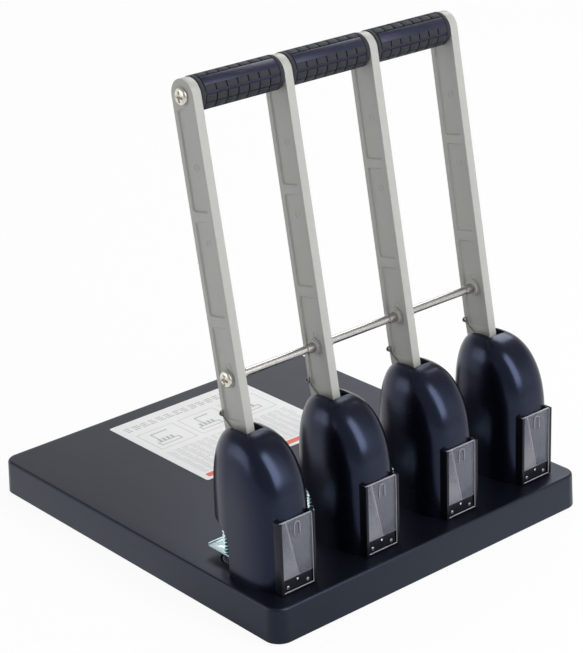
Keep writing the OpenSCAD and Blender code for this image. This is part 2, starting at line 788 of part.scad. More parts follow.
hook = [arm_rear(hook_up) + return_wire / 2 + side_gap, hook_up];
hook_span = hook - pivot;
leg_angle = atan2(hook_span[1], hook_span[0]) - asin(return_coil_r / norm(hook_span));
leg_dir = [cos(leg_angle), sin(leg_angle)];
hook_bend = 2;
coil_arm_x = -arm_t / 2 - return_wire / 2 - side_gap;
coil_cheek_x = -frame_half_in + return_wire / 2 + side_gap;
coil_steps = return_rings * return_turns;
function coil_point(u) = let (a = leg_angle + 90 + 360 * return_turns * (1 - u))
    [coil_cheek_x + (coil_arm_x - coil_cheek_x) * u,
        pivot[0] + return_coil_r * cos(a), pivot[1] + return_coil_r * sin(a)];
lead = return_lead * unit(coil_point(0) - coil_point(0.5 / coil_steps));
function hook_point(b) = [coil_arm_x + hook_bend * (1 - cos(b)),
    hook[0] - hook_bend * leg_dir[0] * (1 - sin(b)), hook[1] - hook_bend * leg_dir[1] * (1 - sin(b))];
return_path = concat([coil_point(0) + [0, lead[1], lead[2]]],
    [for (k = [0:coil_steps]) coil_point(k / coil_steps)],
    [for (b = [0:30:90]) hook_point(b)], [[arm_t / 4, hook[0], hook[1]]]);
echo("least gap in a return spring, mm:", least_gap(return_path, return_wire, 6));

module return_spring(i) {
    color(nickel) at_head(i) wire(return_path, return_wire, [1, 0, 0]);
}

// Handle and tie rod

module cross_bar(place, d) {
    translate([0, punch_y, base_top]) difference() {
        bar_x(place, d, -lever_half, lever_half);
        bar_x(place, end_screw_d + 2 * pin_gap, -lever_half - cut, -lever_half + end_screw_len + cut);
        bar_x(place, end_screw_d + 2 * pin_gap, lever_half - end_screw_len - cut, lever_half + cut);
    }
}

// A pan head with a cross recess, and its shank
module end_screw(place, side) {
    recess = end_screw_head_d / 2;
    recess_w = end_screw_head_d / 10;
    recess_depth = end_screw_head_h / 2;
    translate([side * lever_half, punch_y + place[0], base_top + place[1]]) rotate([0, side * 90, 0]) {
        difference() {
            rotate_extrude() intersection() {
                translate([0, end_screw_head_h - end_screw_head_d]) circle(end_screw_head_d);
                square([end_screw_head_d / 2, end_screw_head_h]);
            }
            for (a = [0, 90]) rotate(a)
                translate([-recess / 2, -recess_w / 2, end_screw_head_h - recess_depth])
                    cube([recess, recess_w, recess_depth + cut]);
        }
        translate([0, 0, -end_screw_len]) cylinder(d = end_screw_d, h = end_screw_len + cut);
    }
}

module handle_bar() {
    color(steel) cross_bar(handle, handle_bar_d);
}

module tie_rod() {
    color(nickel) cross_bar(tie, tie_d);
}

module handle_screws() {
    color(nickel) for (s = SIDES) end_screw(handle, s);
}

module tie_rod_screws() {
    color(nickel) for (s = SIDES) end_screw(tie, s);
}

function grip_len(i) = head_x(i + 1) - head_x(i) - arm_t - 2 * grip_gap;
grip_bands = 9;
grip_groove = 0.8;

module grip(i) {
    end = [head_x(i) + arm_t / 2 + grip_gap, punch_y + handle[0], base_top + handle[1]];
    length = grip_len(i);
    band = length / grip_bands;
    color(grip_black) translate(end) rotate([0, 90, 0]) difference() {
        cylinder(d = grip_d, h = length);
        translate([0, 0, -cut]) cylinder(d = handle_bar_d + 2 * pin_gap, h = length + 2 * cut);
        for (k = [1:grip_bands - 1]) translate([0, 0, k * band - grip_groove / 2]) difference() {
            cylinder(d = grip_d + 2 * cut, h = grip_groove);
            translate([0, 0, -cut]) cylinder(d = grip_d - 2 * grip_groove, h = grip_groove + 2 * cut);
        }
    }
}

base_cover();
base_plate();
rubber_feet();
base_screws();
instruction_label();
cutting_discs();
frame_bolts();
hood_screws();
pivot_pins();
pivot_clips();
guide_bushes();
window_screws();
for (i = HEADS) {
    hood(i);
    head_frame(i);
    window_frame(i);
    chip_window(i);
    presser_plate(i);
    presser_springs(i);
    punch_holder(i);
    punch_pin(i);
    lever_arm(i);
    return_spring(i);
}
for (i = [1:3]) {
    grip(i);
}
crank_pins();
handle_bar();
tie_rod();
handle_screws();
tie_rod_screws();
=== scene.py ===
"""Looks of a heavy duty four-hole paper punch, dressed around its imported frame.

Shapes are drawn in millimetres in the frame's own axes: X along the row of heads, Y from the window side
to the label side, Z up from the feet. They are scaled to metres when they become pieces.
"""

import logging
import math
from abc import ABC, abstractmethod
from collections.abc import Callable, Sequence
from dataclasses import dataclass, field
from enum import Enum
from typing import Any

import bmesh
import bpy
from mathutils import Matrix, Vector


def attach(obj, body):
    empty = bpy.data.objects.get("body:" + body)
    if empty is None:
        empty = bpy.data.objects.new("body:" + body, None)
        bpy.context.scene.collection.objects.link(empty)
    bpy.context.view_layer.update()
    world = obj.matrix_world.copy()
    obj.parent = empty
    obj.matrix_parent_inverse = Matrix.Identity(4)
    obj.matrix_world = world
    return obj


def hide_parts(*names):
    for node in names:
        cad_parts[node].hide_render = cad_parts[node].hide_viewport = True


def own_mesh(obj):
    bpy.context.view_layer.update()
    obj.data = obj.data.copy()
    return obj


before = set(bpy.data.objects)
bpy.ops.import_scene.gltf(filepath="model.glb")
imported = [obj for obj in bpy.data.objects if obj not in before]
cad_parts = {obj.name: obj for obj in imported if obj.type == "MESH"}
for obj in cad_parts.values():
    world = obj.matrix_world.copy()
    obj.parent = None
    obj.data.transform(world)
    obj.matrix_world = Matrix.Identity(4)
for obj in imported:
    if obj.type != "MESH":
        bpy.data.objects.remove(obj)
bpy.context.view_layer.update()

LOG = logging.getLogger("punch")
MM = 0.001
HEADS = (1, 2, 3, 4)
SIDES = (-1, 1)
ROW_MIDDLE = sum(HEADS) / len(HEADS)
# The head and side at each end of the row, where a screw holds the tie rod
ROW_ENDS = ((1, -1), (4, 1))
HEAD_PITCH = 80.0
PUNCH_Y = -89.75
FOOT_H = 2.0
BASE_TOP = 29.0

Flat = tuple[float, float]
Point = tuple[float, float, float]
Colour = tuple[float, float, float]


def head_at(i: int) -> Vector:
    """Returns the middle of head i: its punch's axis, at the base's top."""
    return Vector(((i - ROW_MIDDLE) * HEAD_PITCH, PUNCH_Y, BASE_TOP))


class Axis(Enum):
    """The direction in which a flat outline is drawn out."""

    X = 0
    Y = 1
    Z = 2

    def place(self, u: float, v: float, h: float) -> Point:
        """Returns the point at u, v in the outline's plane and h along this axis."""
        return {Axis.X: (h, u, v), Axis.Y: (u, h, v), Axis.Z: (u, v, h)}[self]


def towards(azimuth: float, elevation: float) -> Vector:
    """Returns the direction to an azimuth, from the window side, and an elevation, both in degrees."""
    a, e = math.radians(azimuth), math.radians(elevation)
    return Vector((math.sin(a) * math.cos(e), -math.cos(a) * math.cos(e), math.sin(e)))


# Outlines


def arc(centre: Flat, radius: float, start: float, end: float, steps: int) -> list[Flat]:
    """Draws part of a circle.

    Args:
        centre: The circle's middle.
        radius: Its radius.
        start: The first angle, in degrees.
        end: The last angle, in degrees.
        steps: The number of straight steps.

    Returns:
        The points from the first angle to the last.
    """
    angles = [math.radians(start + (end - start) * k / steps) for k in range(steps + 1)]
    return [(centre[0] + radius * math.cos(a), centre[1] + radius * math.sin(a)) for a in angles]


def rectangle(low: Flat, high: Flat) -> list[Flat]:
    """Returns the corners of an upright rectangle, in turn."""
    return [low, (high[0], low[1]), high, (low[0], high[1])]


def rounded(corners: Sequence[Flat], radius: float, steps: int = 6) -> list[Flat]:
    """Rounds off the corners of an outline.

    Args:
        corners: The outline's corners, in turn.
        radius: How far from each corner the rounding starts.
        steps: The number of straight steps in each rounding.

    Returns:
        The rounded outline's points.
    """
    points = []
    for k, corner in enumerate(corners):
        here = Vector(corner)
        before = here + (Vector(corners[k - 1]) - here).normalized() * radius
        after = here + (Vector(corners[(k + 1) % len(corners)]) - here).normalized() * radius
        for j in range(steps + 1):
            s = j / steps
            points.append(tuple((1 - s) ** 2 * before + 2 * s * (1 - s) * here + s * s * after))
    return points


# Meshes


def evaluated_mesh(obj: bpy.types.Object) -> bpy.types.Mesh:
    """Runs an object's modifiers and removes the object.

    Args:
        obj: The object, with its modifiers.

    Returns:
        A plain mesh of the result.
    """
    graph = bpy.context.evaluated_depsgraph_get()
    mesh = bpy.data.meshes.new_from_object(obj.evaluated_get(graph))
    old = obj.data
    bpy.data.objects.remove(obj)
    bpy.data.meshes.remove(old)
    return mesh


def merged(name: str, meshes: Sequence[bpy.types.Mesh]) -> bpy.types.Mesh:
    """Makes one mesh of several, and removes those.

    Args:
        name: The new mesh's name.
        meshes: The meshes that go into it.

    Returns:
        The new mesh.
    """
    whole = bmesh.new()
    for mesh in meshes:
        whole.from_mesh(mesh)
        bpy.data.meshes.remove(mesh)
    made = bpy.data.meshes.new(name)
    whole.to_mesh(made)
    whole.free()
    return made


def linked_object(name: str, mesh: bpy.types.Mesh) -> bpy.types.Object:
    """Makes an object of a mesh and links it to the scene.

    Args:
        name: The object's name.
        mesh: Its mesh.

    Returns:
        The new object.
    """
    obj = bpy.data.objects.new(name, mesh)
    bpy.context.scene.collection.objects.link(obj)
    return obj


def smoothed(mesh: bpy.types.Mesh, crease: float = 35.0) -> bpy.types.Mesh:
    """Shades a mesh smooth, apart from edges sharper than an angle.

    Args:
        mesh: The mesh to shade.
        crease: The angle above which an edge stays sharp, in degrees.

    Returns:
        The same mesh.
    """
    mesh.shade_smooth()
    mesh.set_sharp_from_angle(angle=math.radians(crease))
    return mesh


class Solid:
    """A closed shape under construction, in millimetres."""

    def __init__(self) -> None:
        """Starts an empty shape."""
        self.bm = bmesh.new()

    def loft(self, rings: Sequence[Sequence[Point]], looped: bool = False) -> "Solid":
        """Adds a skin through closed rings with equal numbers of points.

        Args:
            rings: The rings, in turn.
            looped: Whether the last ring joins the first, in place of two end faces.

        Returns:
            This shape.
        """
        rows = [[self.bm.verts.new(p) for p in ring] for ring in rings]
        pairs = list(zip(rows, rows[1:]))
        faces = []
        if looped:
            pairs.append((rows[-1], rows[0]))
        else:
            faces = [self.bm.faces.new(rows[0][::-1]), self.bm.faces.new(rows[-1])]
        for low, high in pairs:
            for k in range(len(low)):
                j = (k + 1) % len(low)
                faces.append(self.bm.faces.new((low[k], low[j], high[j], high[k])))
        bmesh.ops.recalc_face_normals(self.bm, faces=faces)
        return self

    def prism(self, outline: Sequence[Flat], low: float, high: float, axis: Axis) -> "Solid":
        """Adds a block drawn out from an outline, from low to high along an axis."""
        return self.loft([[axis.place(u, v, h) for u, v in outline] for h in (low, high)])

    def box(self, low: Point, high: Point) -> "Solid":
        """Adds a block between two corners."""
        return self.prism(rectangle(low[:2], high[:2]), low[2], high[2], Axis.Z)

    def lathe(self, profile: Sequence[Flat], axis: Axis, at: Flat = (0, 0), sides: int = 48,
              looped: bool = False) -> "Solid":
        """Adds a turned shape.

        Args:
            profile: Radius and height of each step along the axis.
            axis: The axis that it is turned about.
            at: Where that axis stands in the plane across it.
            sides: The number of flat sides.
            looped: Whether the profile is a closed line, as on a ring.

        Returns:
            This shape.
        """
        turn = [2 * math.pi * k / sides for k in range(sides)]
        return self.loft([[axis.place(at[0] + r * math.cos(a), at[1] + r * math.sin(a), h) for a in turn]
                          for r, h in profile], looped)

    def rod(self, radius: float, ends: Flat, axis: Axis, at: Flat = (0, 0), sides: int = 48) -> "Solid":
        """Adds a round bar between two places along an axis."""
        return self.lathe([(radius, end) for end in ends], axis, at, sides)

    def minus(self, *tools: "Solid") -> "Solid":
        """Cuts other shapes out of this one."""
        return self._boolean("DIFFERENCE", tools)

    def plus(self, *tools: "Solid") -> "Solid":
        """Grows this shape by others, as one skin."""
        return self._boolean("UNION", tools)

    def within(self, *tools: "Solid") -> "Solid":
        """Keeps what lies inside other shapes."""
        return self._boolean("INTERSECT", tools)

    def joined(self, other: "Solid") -> "Solid":
        """Adds another shape as a separate skin.

        Args:
            other: The shape to add.

        Returns:
            This shape.
        """
        mesh = other.mesh("joined")
        self.bm.from_mesh(mesh)
        bpy.data.meshes.remove(mesh)
        return self

    def bevelled(self, width: float, segments: int = 2, angle: float = 40.0) -> "Solid":
        """Rounds the edges that are sharper than an angle, by a width."""
        return self._modified("BEVEL", width=width, segments=segments, limit_method="ANGLE",
                              angle_limit=math.radians(angle))

    def painted(self, index: int, wanted: Callable[[bmesh.types.BMFace], bool]) -> "Solid":
        """Gives the faces that pass a test another of the piece's finishes.

        Args:
            index: The finish's number on the piece.
            wanted: The test of a face.

        Returns:
            This shape.
        """
        self.bm.normal_update()
        for face in self.bm.faces:
            if wanted(face):
                face.material_index = index
        return self

    def mesh(self, name: str) -> bpy.types.Mesh:
        """Makes a mesh of this shape.

        Args:
            name: The mesh's name.

        Returns:
            The mesh.
        """
        mesh = bpy.data.meshes.new(name)
        self.bm.to_mesh(mesh)
        return mesh

    def _boolean(self, operation: str, tools: Sequence["Solid"]) -> "Solid":
        """Joins this shape with others by a boolean operation.

        Args:
            operation: The operation's name in Blender.
            tools: The other shapes, in turn.

        Returns:
            This shape.
        """
        for tool in tools:
            cutter = linked_object("cutter", tool.mesh("cutter"))
            self._modified("BOOLEAN", operation=operation, solver="EXACT", object=cutter)
            bpy.data.objects.remove(cutter)
        return self

    def _modified(self, kind: str, **settings: Any) -> "Solid":
        """Runs one modifier on this shape.

        Args:
            kind: The modifier's type.
            settings: Its settings, by name.

        Returns:
            This shape.
        """
        body = linked_object("body", self.mesh("body"))
        modifier = body.modifiers.new(kind, kind)
        for key, value in settings.items():
            setattr(modifier, key, value)
        mesh = evaluated_mesh(body)
        self.bm.clear()
        self.bm.from_mesh(mesh)
        bpy.data.meshes.remove(mesh)
        return self


# Node trees


class Value:
    """A node's output that takes part in Python sums."""

    def __init__(self, tree: "Tree", socket: bpy.types.NodeSocket) -> None:
        """Wraps one output of a tree's node."""
        self.tree = tree
        self.socket = socket

    def math(self, operation: str, *others: Any) -> "Value":
        """Returns a Math node's result on this value and others."""
        return self.tree.math(operation, self, *others)

    def __add__(self, other: Any) -> "Value":
        """Returns the sum."""
        return self.math("ADD", other)

    def __radd__(self, other: Any) -> "Value":
        """Returns the sum."""
        return self.tree.math("ADD", other, self)

    def __sub__(self, other: Any) -> "Value":
        """Returns the difference."""
        return self.math("SUBTRACT", other)

    def __rsub__(self, other: Any) -> "Value":
        """Returns the difference, the other way round."""
        return self.tree.math("SUBTRACT", other, self)

    def __mul__(self, other: Any) -> "Value":
        """Returns the product."""
        return self.math("MULTIPLY", other)

    def __rmul__(self, other: Any) -> "Value":
        """Returns the product."""
        return self.tree.math("MULTIPLY", other, self)

    def __truediv__(self, other: Any) -> "Value":
        """Returns the quotient."""
        return self.math("DIVIDE", other)

    def __rtruediv__(self, other: Any) -> "Value":
        """Returns the quotient, the other way round."""
        return self.tree.math("DIVIDE", other, self)

    def rise(self, low: float, high: float) -> "Value":
        """Returns a smooth rise from 0 at low to 1 at high."""
        return self.tree.output("Result", "ShaderNodeMapRange", {"interpolation_type": "SMOOTHSTEP"},
                                {"Value": self, "From Min": low, "From Max": high})


class Tree:
    """Adds nodes to a node tree."""

    def __init__(self, tree: bpy.types.NodeTree) -> None:
        """Starts on a tree."""
        self.tree = tree

    def node(self, kind: str, settings: dict[str, Any] | None = None,
             inputs: dict[str | int, Any] | None = None) -> bpy.types.Node:
        """Adds a node.

        Args:
            kind: The node's type.
            settings: Its own settings, which are set first.
            inputs: Values or links for its sockets, by name or number.

        Returns:
            The new node.
        """
        node = self.tree.nodes.new(kind)
        for key, value in (settings or {}).items():
            setattr(node, key, value)
        for key, value in (inputs or {}).items():
            self.feed(node.inputs[key], value)
        return node

    def feed(self, socket: bpy.types.NodeSocket, value: Any) -> None:
        """Links a value to a socket, or sets the socket to a constant.

        Args:
            socket: The socket.
            value: A value, another node's socket or a constant.
        """
        if isinstance(value, Value):
            value = value.socket
        if isinstance(value, bpy.types.NodeSocket):
            self.tree.links.new(value, socket)
        else:
            socket.default_value = value

    def output(self, which: str | int, kind: str, settings: dict[str, Any] | None = None,
               inputs: dict[str | int, Any] | None = None) -> Value:
        """Returns one output, by name or number, of a new node."""
        return Value(self, self.node(kind, settings, inputs).outputs[which])

    def math(self, operation: str, *values: Any) -> Value:
        """Returns a Math node's result on values."""
        return self.output(0, "ShaderNodeMath", {"operation": operation}, dict(enumerate(values)))

    def combine(self, x: Any, y: Any, z: Any) -> Value:
        """Returns a vector of three values."""
        return self.output(0, "ShaderNodeCombineXYZ", None, {"X": x, "Y": y, "Z": z})


class GeometryTree(Tree):
    """A Geometry Nodes tree under construction, with its sizes as named inputs."""

    def __init__(self, name: str) -> None:
        """Starts a tree with a mesh going in and a mesh coming out.

        Args:
            name: The tree's name.
        """
        super().__init__(bpy.data.node_groups.new(name, "GeometryNodeTree"))
        self.settings: dict[str, Any] = {}
        for way in ("INPUT", "OUTPUT"):
            self.tree.interface.new_socket("Geometry", in_out=way, socket_type="NodeSocketGeometry")
        self.start = self.node("NodeGroupInput")
        self.end = self.node("NodeGroupOutput")

    def size(self, name: str, value: Any) -> Value:
        """Adds a named input.

        Args:
            name: The input's name.
            value: What it is set to.

        Returns:
            The input, for use in the tree.
        """
        kind = {int: "Int", float: "Float", bpy.types.Object: "Object"}[type(value)]
        item = self.tree.interface.new_socket(name, in_out="INPUT", socket_type=f"NodeSocket{kind}")
        self.settings[item.identifier] = value
        return Value(self, self.start.outputs[name])

    def random(self, low: float, high: float, seed: Value) -> Value:
        """Returns an even random number for each element."""
        return self.output(1, "FunctionNodeRandomValue", {"data_type": "FLOAT"},
                           {2: low, 3: high, "Seed": seed})

    def line(self, count: Value) -> tuple[bpy.types.NodeSocket, Value]:
        """Returns a number of points at one place, and their index."""
        points = self.node("GeometryNodeMeshLine", {"mode": "OFFSET"}, {"Count": count, "Offset": (0, 0, 0)})
        return points.outputs[0], self.output(0, "GeometryNodeInputIndex")

    def run(self, geometry: bpy.types.NodeSocket, mesh: bpy.types.Mesh,
            material: bpy.types.Material) -> bpy.types.Mesh:
        """Closes the tree, runs it on a mesh and returns the result.

        Args:
            geometry: The geometry that comes out.
            mesh: The mesh that goes in.
            material: The material of all that comes out.

        Returns:
            A plain mesh.
        """
        real = self.node("GeometryNodeRealizeInstances", None, {"Geometry": geometry})
        dressed = self.node("GeometryNodeSetMaterial", None,
                            {"Geometry": real.outputs[0], "Material": material})
        self.feed(self.end.inputs[0], dressed.outputs[0])
        carrier = linked_object(self.tree.name, mesh)
        modifier = carrier.modifiers.new(self.tree.name, "NODES")
        modifier.node_group = self.tree
        for identifier, value in self.settings.items():
            modifier[identifier] = value
        made = evaluated_mesh(carrier)
        bpy.data.node_groups.remove(self.tree)
        return smoothed(made)


def wire_mesh(path: Sequence[Point], diameter: float, material: bpy.types.Material,
              sides: int = 10) -> bpy.types.Mesh:
    """Bends round wire along a path.

    Args:
        path: The points of the wire's middle.
        diameter: The wire's diameter.
        material: The wire's material.
        sides: The number of flat sides around it.

    Returns:
        The wire's mesh.
    """
    line = bpy.data.meshes.new("path")
    line.from_pydata(path, [(k, k + 1) for k in range(len(path) - 1)], [])
    tree = GeometryTree("bent wire")
    profile = tree.node("GeometryNodeCurvePrimitiveCircle", None, {
        "Resolution": tree.size("Sides", sides), "Radius": tree.size("Radius", diameter / 2)})
    curve = tree.node("GeometryNodeMeshToCurve", None, {"Mesh": tree.start.outputs["Geometry"]})
    tube = tree.node("GeometryNodeCurveToMesh", None, {
        "Curve": curve.outputs[0], "Profile Curve": profile.outputs[0], "Fill Caps": True})
    return tree.run(tube.outputs[0], line, material)


def repeated_mesh(shape: Solid, places: Sequence[Point], axis: Point,
                  material: bpy.types.Material) -> bpy.types.Mesh:
    """Repeats a shape at several places.

    Args:
        shape: The shape, standing on the origin along Z.
        places: Where its foot goes.
        axis: The direction in which it points there.
        material: The shape's material.

    Returns:
        One mesh of all of them.
    """
    points = bpy.data.meshes.new("places")
    points.from_pydata(places, [], [])
    pattern = linked_object("pattern", shape.mesh("pattern"))
    turn = Vector((0, 0, 1)).rotation_difference(Vector(axis)).to_euler()
    tree = GeometryTree("repeated shape")
    info = tree.node("GeometryNodeObjectInfo", None, {"Object": tree.size("Shape", pattern)})
    spread = tree.node("GeometryNodeInstanceOnPoints", None, {
        "Points": tree.start.outputs["Geometry"], "Instance": info.outputs["Geometry"],
        "Rotation": tree.combine(*(tree.size(f"Turn {name}", angle) for name, angle in zip("XYZ", turn)))})
    mesh = tree.run(spread.outputs[0], points, material)
    bpy.data.objects.remove(pattern)
    return mesh


# Finishes


class Shader(Tree):
    """A material under construction around its Principled shader."""

    def __init__(self, name: str) -> None:
        """Starts a material of a name.

        Args:
            name: The material's name.
        """
        self.material = bpy.data.materials.new(name)
        self.material.use_nodes = True
        super().__init__(self.material.node_tree)
        self.principled = next(n for n in self.tree.nodes if n.type == "BSDF_PRINCIPLED")
        self.place = self.output("Object", "ShaderNodeTexCoord")

    def stretched(self, x: float, y: float, z: float) -> Value:
        """Returns the piece's own coordinates, scaled along each axis."""
        return self.output(0, "ShaderNodeMapping", None, {"Vector": self.place, "Scale": (x, y, z)})

    def along(self, axis: Axis) -> Value:
        """Returns one of the piece's own coordinates, in metres."""
        return self.output(axis.value, "ShaderNodeSeparateXYZ", None, {"Vector": self.place})

    def noise(self, size_mm: float, detail: float = 2.0, vector: Value | None = None) -> Value:
        """Returns noise with blotches of a size in millimetres."""
        return self.output(0, "ShaderNodeTexNoise", None, {
            "Vector": vector or self.place, "Scale": 1 / (size_mm * MM), "Detail": detail})

    def cells(self, size_mm: float) -> Value:
        """Returns the distance to the middle of cells of a size in millimetres."""
        return self.output("Distance", "ShaderNodeTexVoronoi", None, {
            "Vector": self.place, "Scale": 1 / (size_mm * MM)})

    def mix(self, share: Any, first: Any, second: Any) -> Value:
        """Returns a colour between two others.

        Args:
            share: How much there is of the second colour.
            first: A colour or a value.
            second: Another one.

        Returns:
            The mixed colour.
        """
        colours = [(*c, 1.0) if isinstance(c, tuple) else c for c in (first, second)]
        return self.output(2, "ShaderNodeMix", {"data_type": "RGBA"},
                           {0: share, 6: colours[0], 7: colours[1]})

    def bump(self, height: Value, depth_mm: float) -> Value:
        """Returns the normal of a surface raised by a height times a depth in millimetres."""
        return self.output(0, "ShaderNodeBump", None, {
            "Height": height, "Distance": depth_mm * MM, "Strength": 1.0})

    def set(self, **inputs: Any) -> None:
        """Feeds the Principled shader's sockets.

        Args:
            inputs: What each takes, by its name with _ for a space.
        """
        for key, value in inputs.items():
            socket = self.principled.inputs[key.replace("_", " ")]
            self.feed(socket, (*value, 1.0) if isinstance(value, tuple) and len(value) == 3 else value)


@dataclass(frozen=True)
class Finish(ABC):
    """The look of one material of the punch, and the record's slot for it."""

    name: str
    slot: str

    def material(self) -> bpy.types.Material:
        """Finds this finish's material, or makes it the first time.

        Returns:
            The material.
        """
        found = bpy.data.materials.get(self.name)
        if found is None:
            shader = Shader(self.name)
            self.shade(shader)
            found = shader.material
        return found

    @abstractmethod
    def shade(self, shader: Shader) -> None:
        """Builds the material's nodes.

        Args:
            shader: The material under construction.
        """


@dataclass(frozen=True)
class MouldedPlastic(Finish):
    """Moulded plastic with a fine grain."""

    colour: Colour
    dusty: Colour
    roughness: float
    specular: float
    tint: Colour
    grain_mm: float
    grain_depth_mm: float

    def shade(self, shader: Shader) -> None:
        """Builds grain, cloudy gloss and a little dust.

        Args:
            shader: The material under construction.
        """
        cloud = shader.noise(38.0, 3.0)
        fine = shader.noise(self.grain_mm, 2.0)
        dust = shader.noise(1.6, 4.0).rise(0.62, 0.78) * cloud.rise(0.45, 0.7)
        shader.set(
            Base_Color=shader.mix(0.35 * cloud + 0.25 * dust, self.colour, self.dusty),
            Roughness=self.roughness + 0.1 * (cloud - 0.5) + 0.14 * (fine - 0.5) + 0.08 * dust,
            Normal=shader.bump(fine + 0.35 * shader.noise(4 * self.grain_mm), self.grain_depth_mm),
            Specular_IOR_Level=self.specular, Specular_Tint=self.tint)


@dataclass(frozen=True)
class PaintedCasting(Finish):
    """Satin paint on a die casting."""

    colour: Colour
    worn: Colour
    roughness: float

    def shade(self, shader: Shader) -> None:
        """Builds orange peel, faint streaks in the paint and small specks.

        Args:
            shader: The material under construction.
        """
        flow = shader.noise(22.0, 3.0, shader.stretched(1.0, 1.0, 0.22))
        peel = shader.noise(0.9, 2.0)
        speck = 1 - shader.cells(2.6).rise(0.05, 0.14)
        shader.set(
            Base_Color=shader.mix(0.5 * flow + 0.16 * speck, self.colour, self.worn),
            Roughness=self.roughness + 0.12 * (flow - 0.5) + 0.1 * (peel - 0.5),
            Normal=shader.bump(peel + 0.4 * speck, 0.035),
            Specular_IOR_Level=0.42, Coat_Weight=0.05, Coat_Roughness=0.3)


@dataclass(frozen=True)
class PlatedMetal(Finish):
    """Bright plated or bare metal with drawing marks."""

    colour: Colour
    stained: Colour
    roughness: float
    marks: Point = (1.0, 1.0, 1.0)

    def shade(self, shader: Shader) -> None:
        """Builds drawing marks, cloudy plating and small stains.

        Args:
            shader: The material under construction.
        """
        cloud = shader.noise(7.0, 3.0)
        drawn = shader.noise(0.5, 2.0, shader.stretched(*self.marks))
        stain = shader.noise(2.4, 4.0).rise(0.58, 0.76)
        shader.set(
            Base_Color=shader.mix(0.55 * cloud * stain + 0.2 * drawn, self.colour, self.stained),
            Roughness=self.roughness + 0.12 * (cloud - 0.5) + 0.1 * (drawn - 0.5) + 0.1 * stain,
            Normal=shader.bump(drawn, 0.012), Metallic=1.0)


@dataclass(frozen=True)
class GripRubber(Finish):
    """Soft rubber with a faint bloom."""

    colour: Colour
    bloom: Colour
    roughness: float

    def shade(self, shader: Shader) -> None:
        """Builds a fine matt skin with handling marks.

        Args:
            shader: The material under construction.
        """
        skin = shader.noise(0.45, 3.0)
        handled = shader.noise(9.0, 4.0, shader.stretched(1.0, 2.0, 2.0))
        scratch = shader.noise(1.2, 3.0, shader.stretched(0.3, 2.4, 1.6)).rise(0.56, 0.7)
        shader.set(
            Base_Color=shader.mix(0.6 * handled + 0.3 * scratch, self.colour, self.bloom),
            Roughness=self.roughness + 0.2 * (handled - 0.5) + 0.1 * (skin - 0.5),
            Normal=shader.bump(skin + 0.5 * scratch, 0.05),
            Specular_IOR_Level=0.4, Specular_Tint=(0.72, 0.78, 1.0),
            Sheen_Weight=0.08, Sheen_Roughness=0.4, Sheen_Tint=(0.6, 0.68, 1.0))


@dataclass(frozen=True)
class ClearPlastic(Finish):
    """Clear moulded plastic, a little milky, with painted light in each window: a bright slanting line and a
    lighter patch to its lower left.
    """

    colour: Colour
    pale: Colour
    milk: float
    frosted: float
    roughness: float
    # These settings paint light into each window: a bright slanting line, and a lighter, milkier patch to its
    # lower left that fades out upwards.
    flow: float = 0.0
    flow_colour: Colour = (0.66, 0.67, 0.7)
    flow_top_mm: Flat = (-8.2, 49.9)
    flow_lean: float = 0.229
    flow_half_mm: Flat = (0.2, 0.8)
    flow_shade_mm: Flat = (10.0, 50.0)

    def shade(self, shader: Shader) -> None:
        """Builds haze, faint scuffs, the painted light line and patch, and a see-through body.

        Args:
            shader: The material under construction.
        """
        haze = shader.noise(16.0, 3.0)
        scuff = shader.noise(1.1, 3.0, shader.stretched(1.0, 1.0, 0.2)).rise(0.55, 0.75)
        cloudy = self.milk + self.frosted * haze + 0.03 * scuff
        colour = shader.mix(0.5 * haze, self.colour, self.pale)
        # Painted light: the line and the patch beside it are mixed to a paler colour, and the patch is made
        # milkier.
        if self.flow:
            line, left = self._flow_line(shader)
            colour = shader.mix(self.flow * (line + 0.5 * left), colour, self.flow_colour)
            cloudy = cloudy + 0.2 * self.flow * left
        shader.set(
            Base_Color=colour,
            Roughness=self.roughness + 0.16 * scuff, Alpha=cloudy.math("MINIMUM", 1.0),
            Normal=shader.bump(haze + 0.1 * scuff, 0.01),
            Specular_IOR_Level=0.5, IOR=1.49)

    def _flow_line(self, shader: Shader) -> tuple[Value, Value]:
        """Draws a thin slanting line of painted light in each window.

        Args:
            shader: The material under construction.

        Returns:
            The line, and the lower left of the window beside it, which is painted as lit.
        """
        pitch = HEAD_PITCH * MM
        across = (((shader.along(Axis.X) + 2 * pitch) / pitch).math("FRACT") - 0.5) * pitch
        height = shader.along(Axis.Z) - BASE_TOP * MM
        x, z = (v * MM for v in self.flow_top_mm)
        off = across - x - self.flow_lean * (z - height)
        line = 1 - off.math("ABSOLUTE").rise(*(v * MM for v in self.flow_half_mm))
        low, high = (v * MM for v in self.flow_shade_mm)
        left = (1 - off.rise(-1.5 * MM, 0.0)) * (1 - height.rise(low, high))
        return line, left


@dataclass(frozen=True)
class PrintedSheet(Finish):
    """Coated paper or the ink on it."""

    colour: Colour
    faded: Colour
    roughness: float = 0.4

    def shade(self, shader: Shader) -> None:
        """Builds fibre, a slight cockle and faded patches.

        Args:
            shader: The material under construction.
        """
        fibre = shader.noise(0.35, 3.0)
        cockle = shader.noise(30.0, 2.0)
        shader.set(
            Base_Color=shader.mix(0.35 * fibre + 0.35 * cockle, self.colour, self.faded),
            Roughness=self.roughness + 0.15 * (fibre - 0.5),
            Normal=shader.bump(cockle + 0.05 * fibre, 0.2), Specular_IOR_Level=0.4)


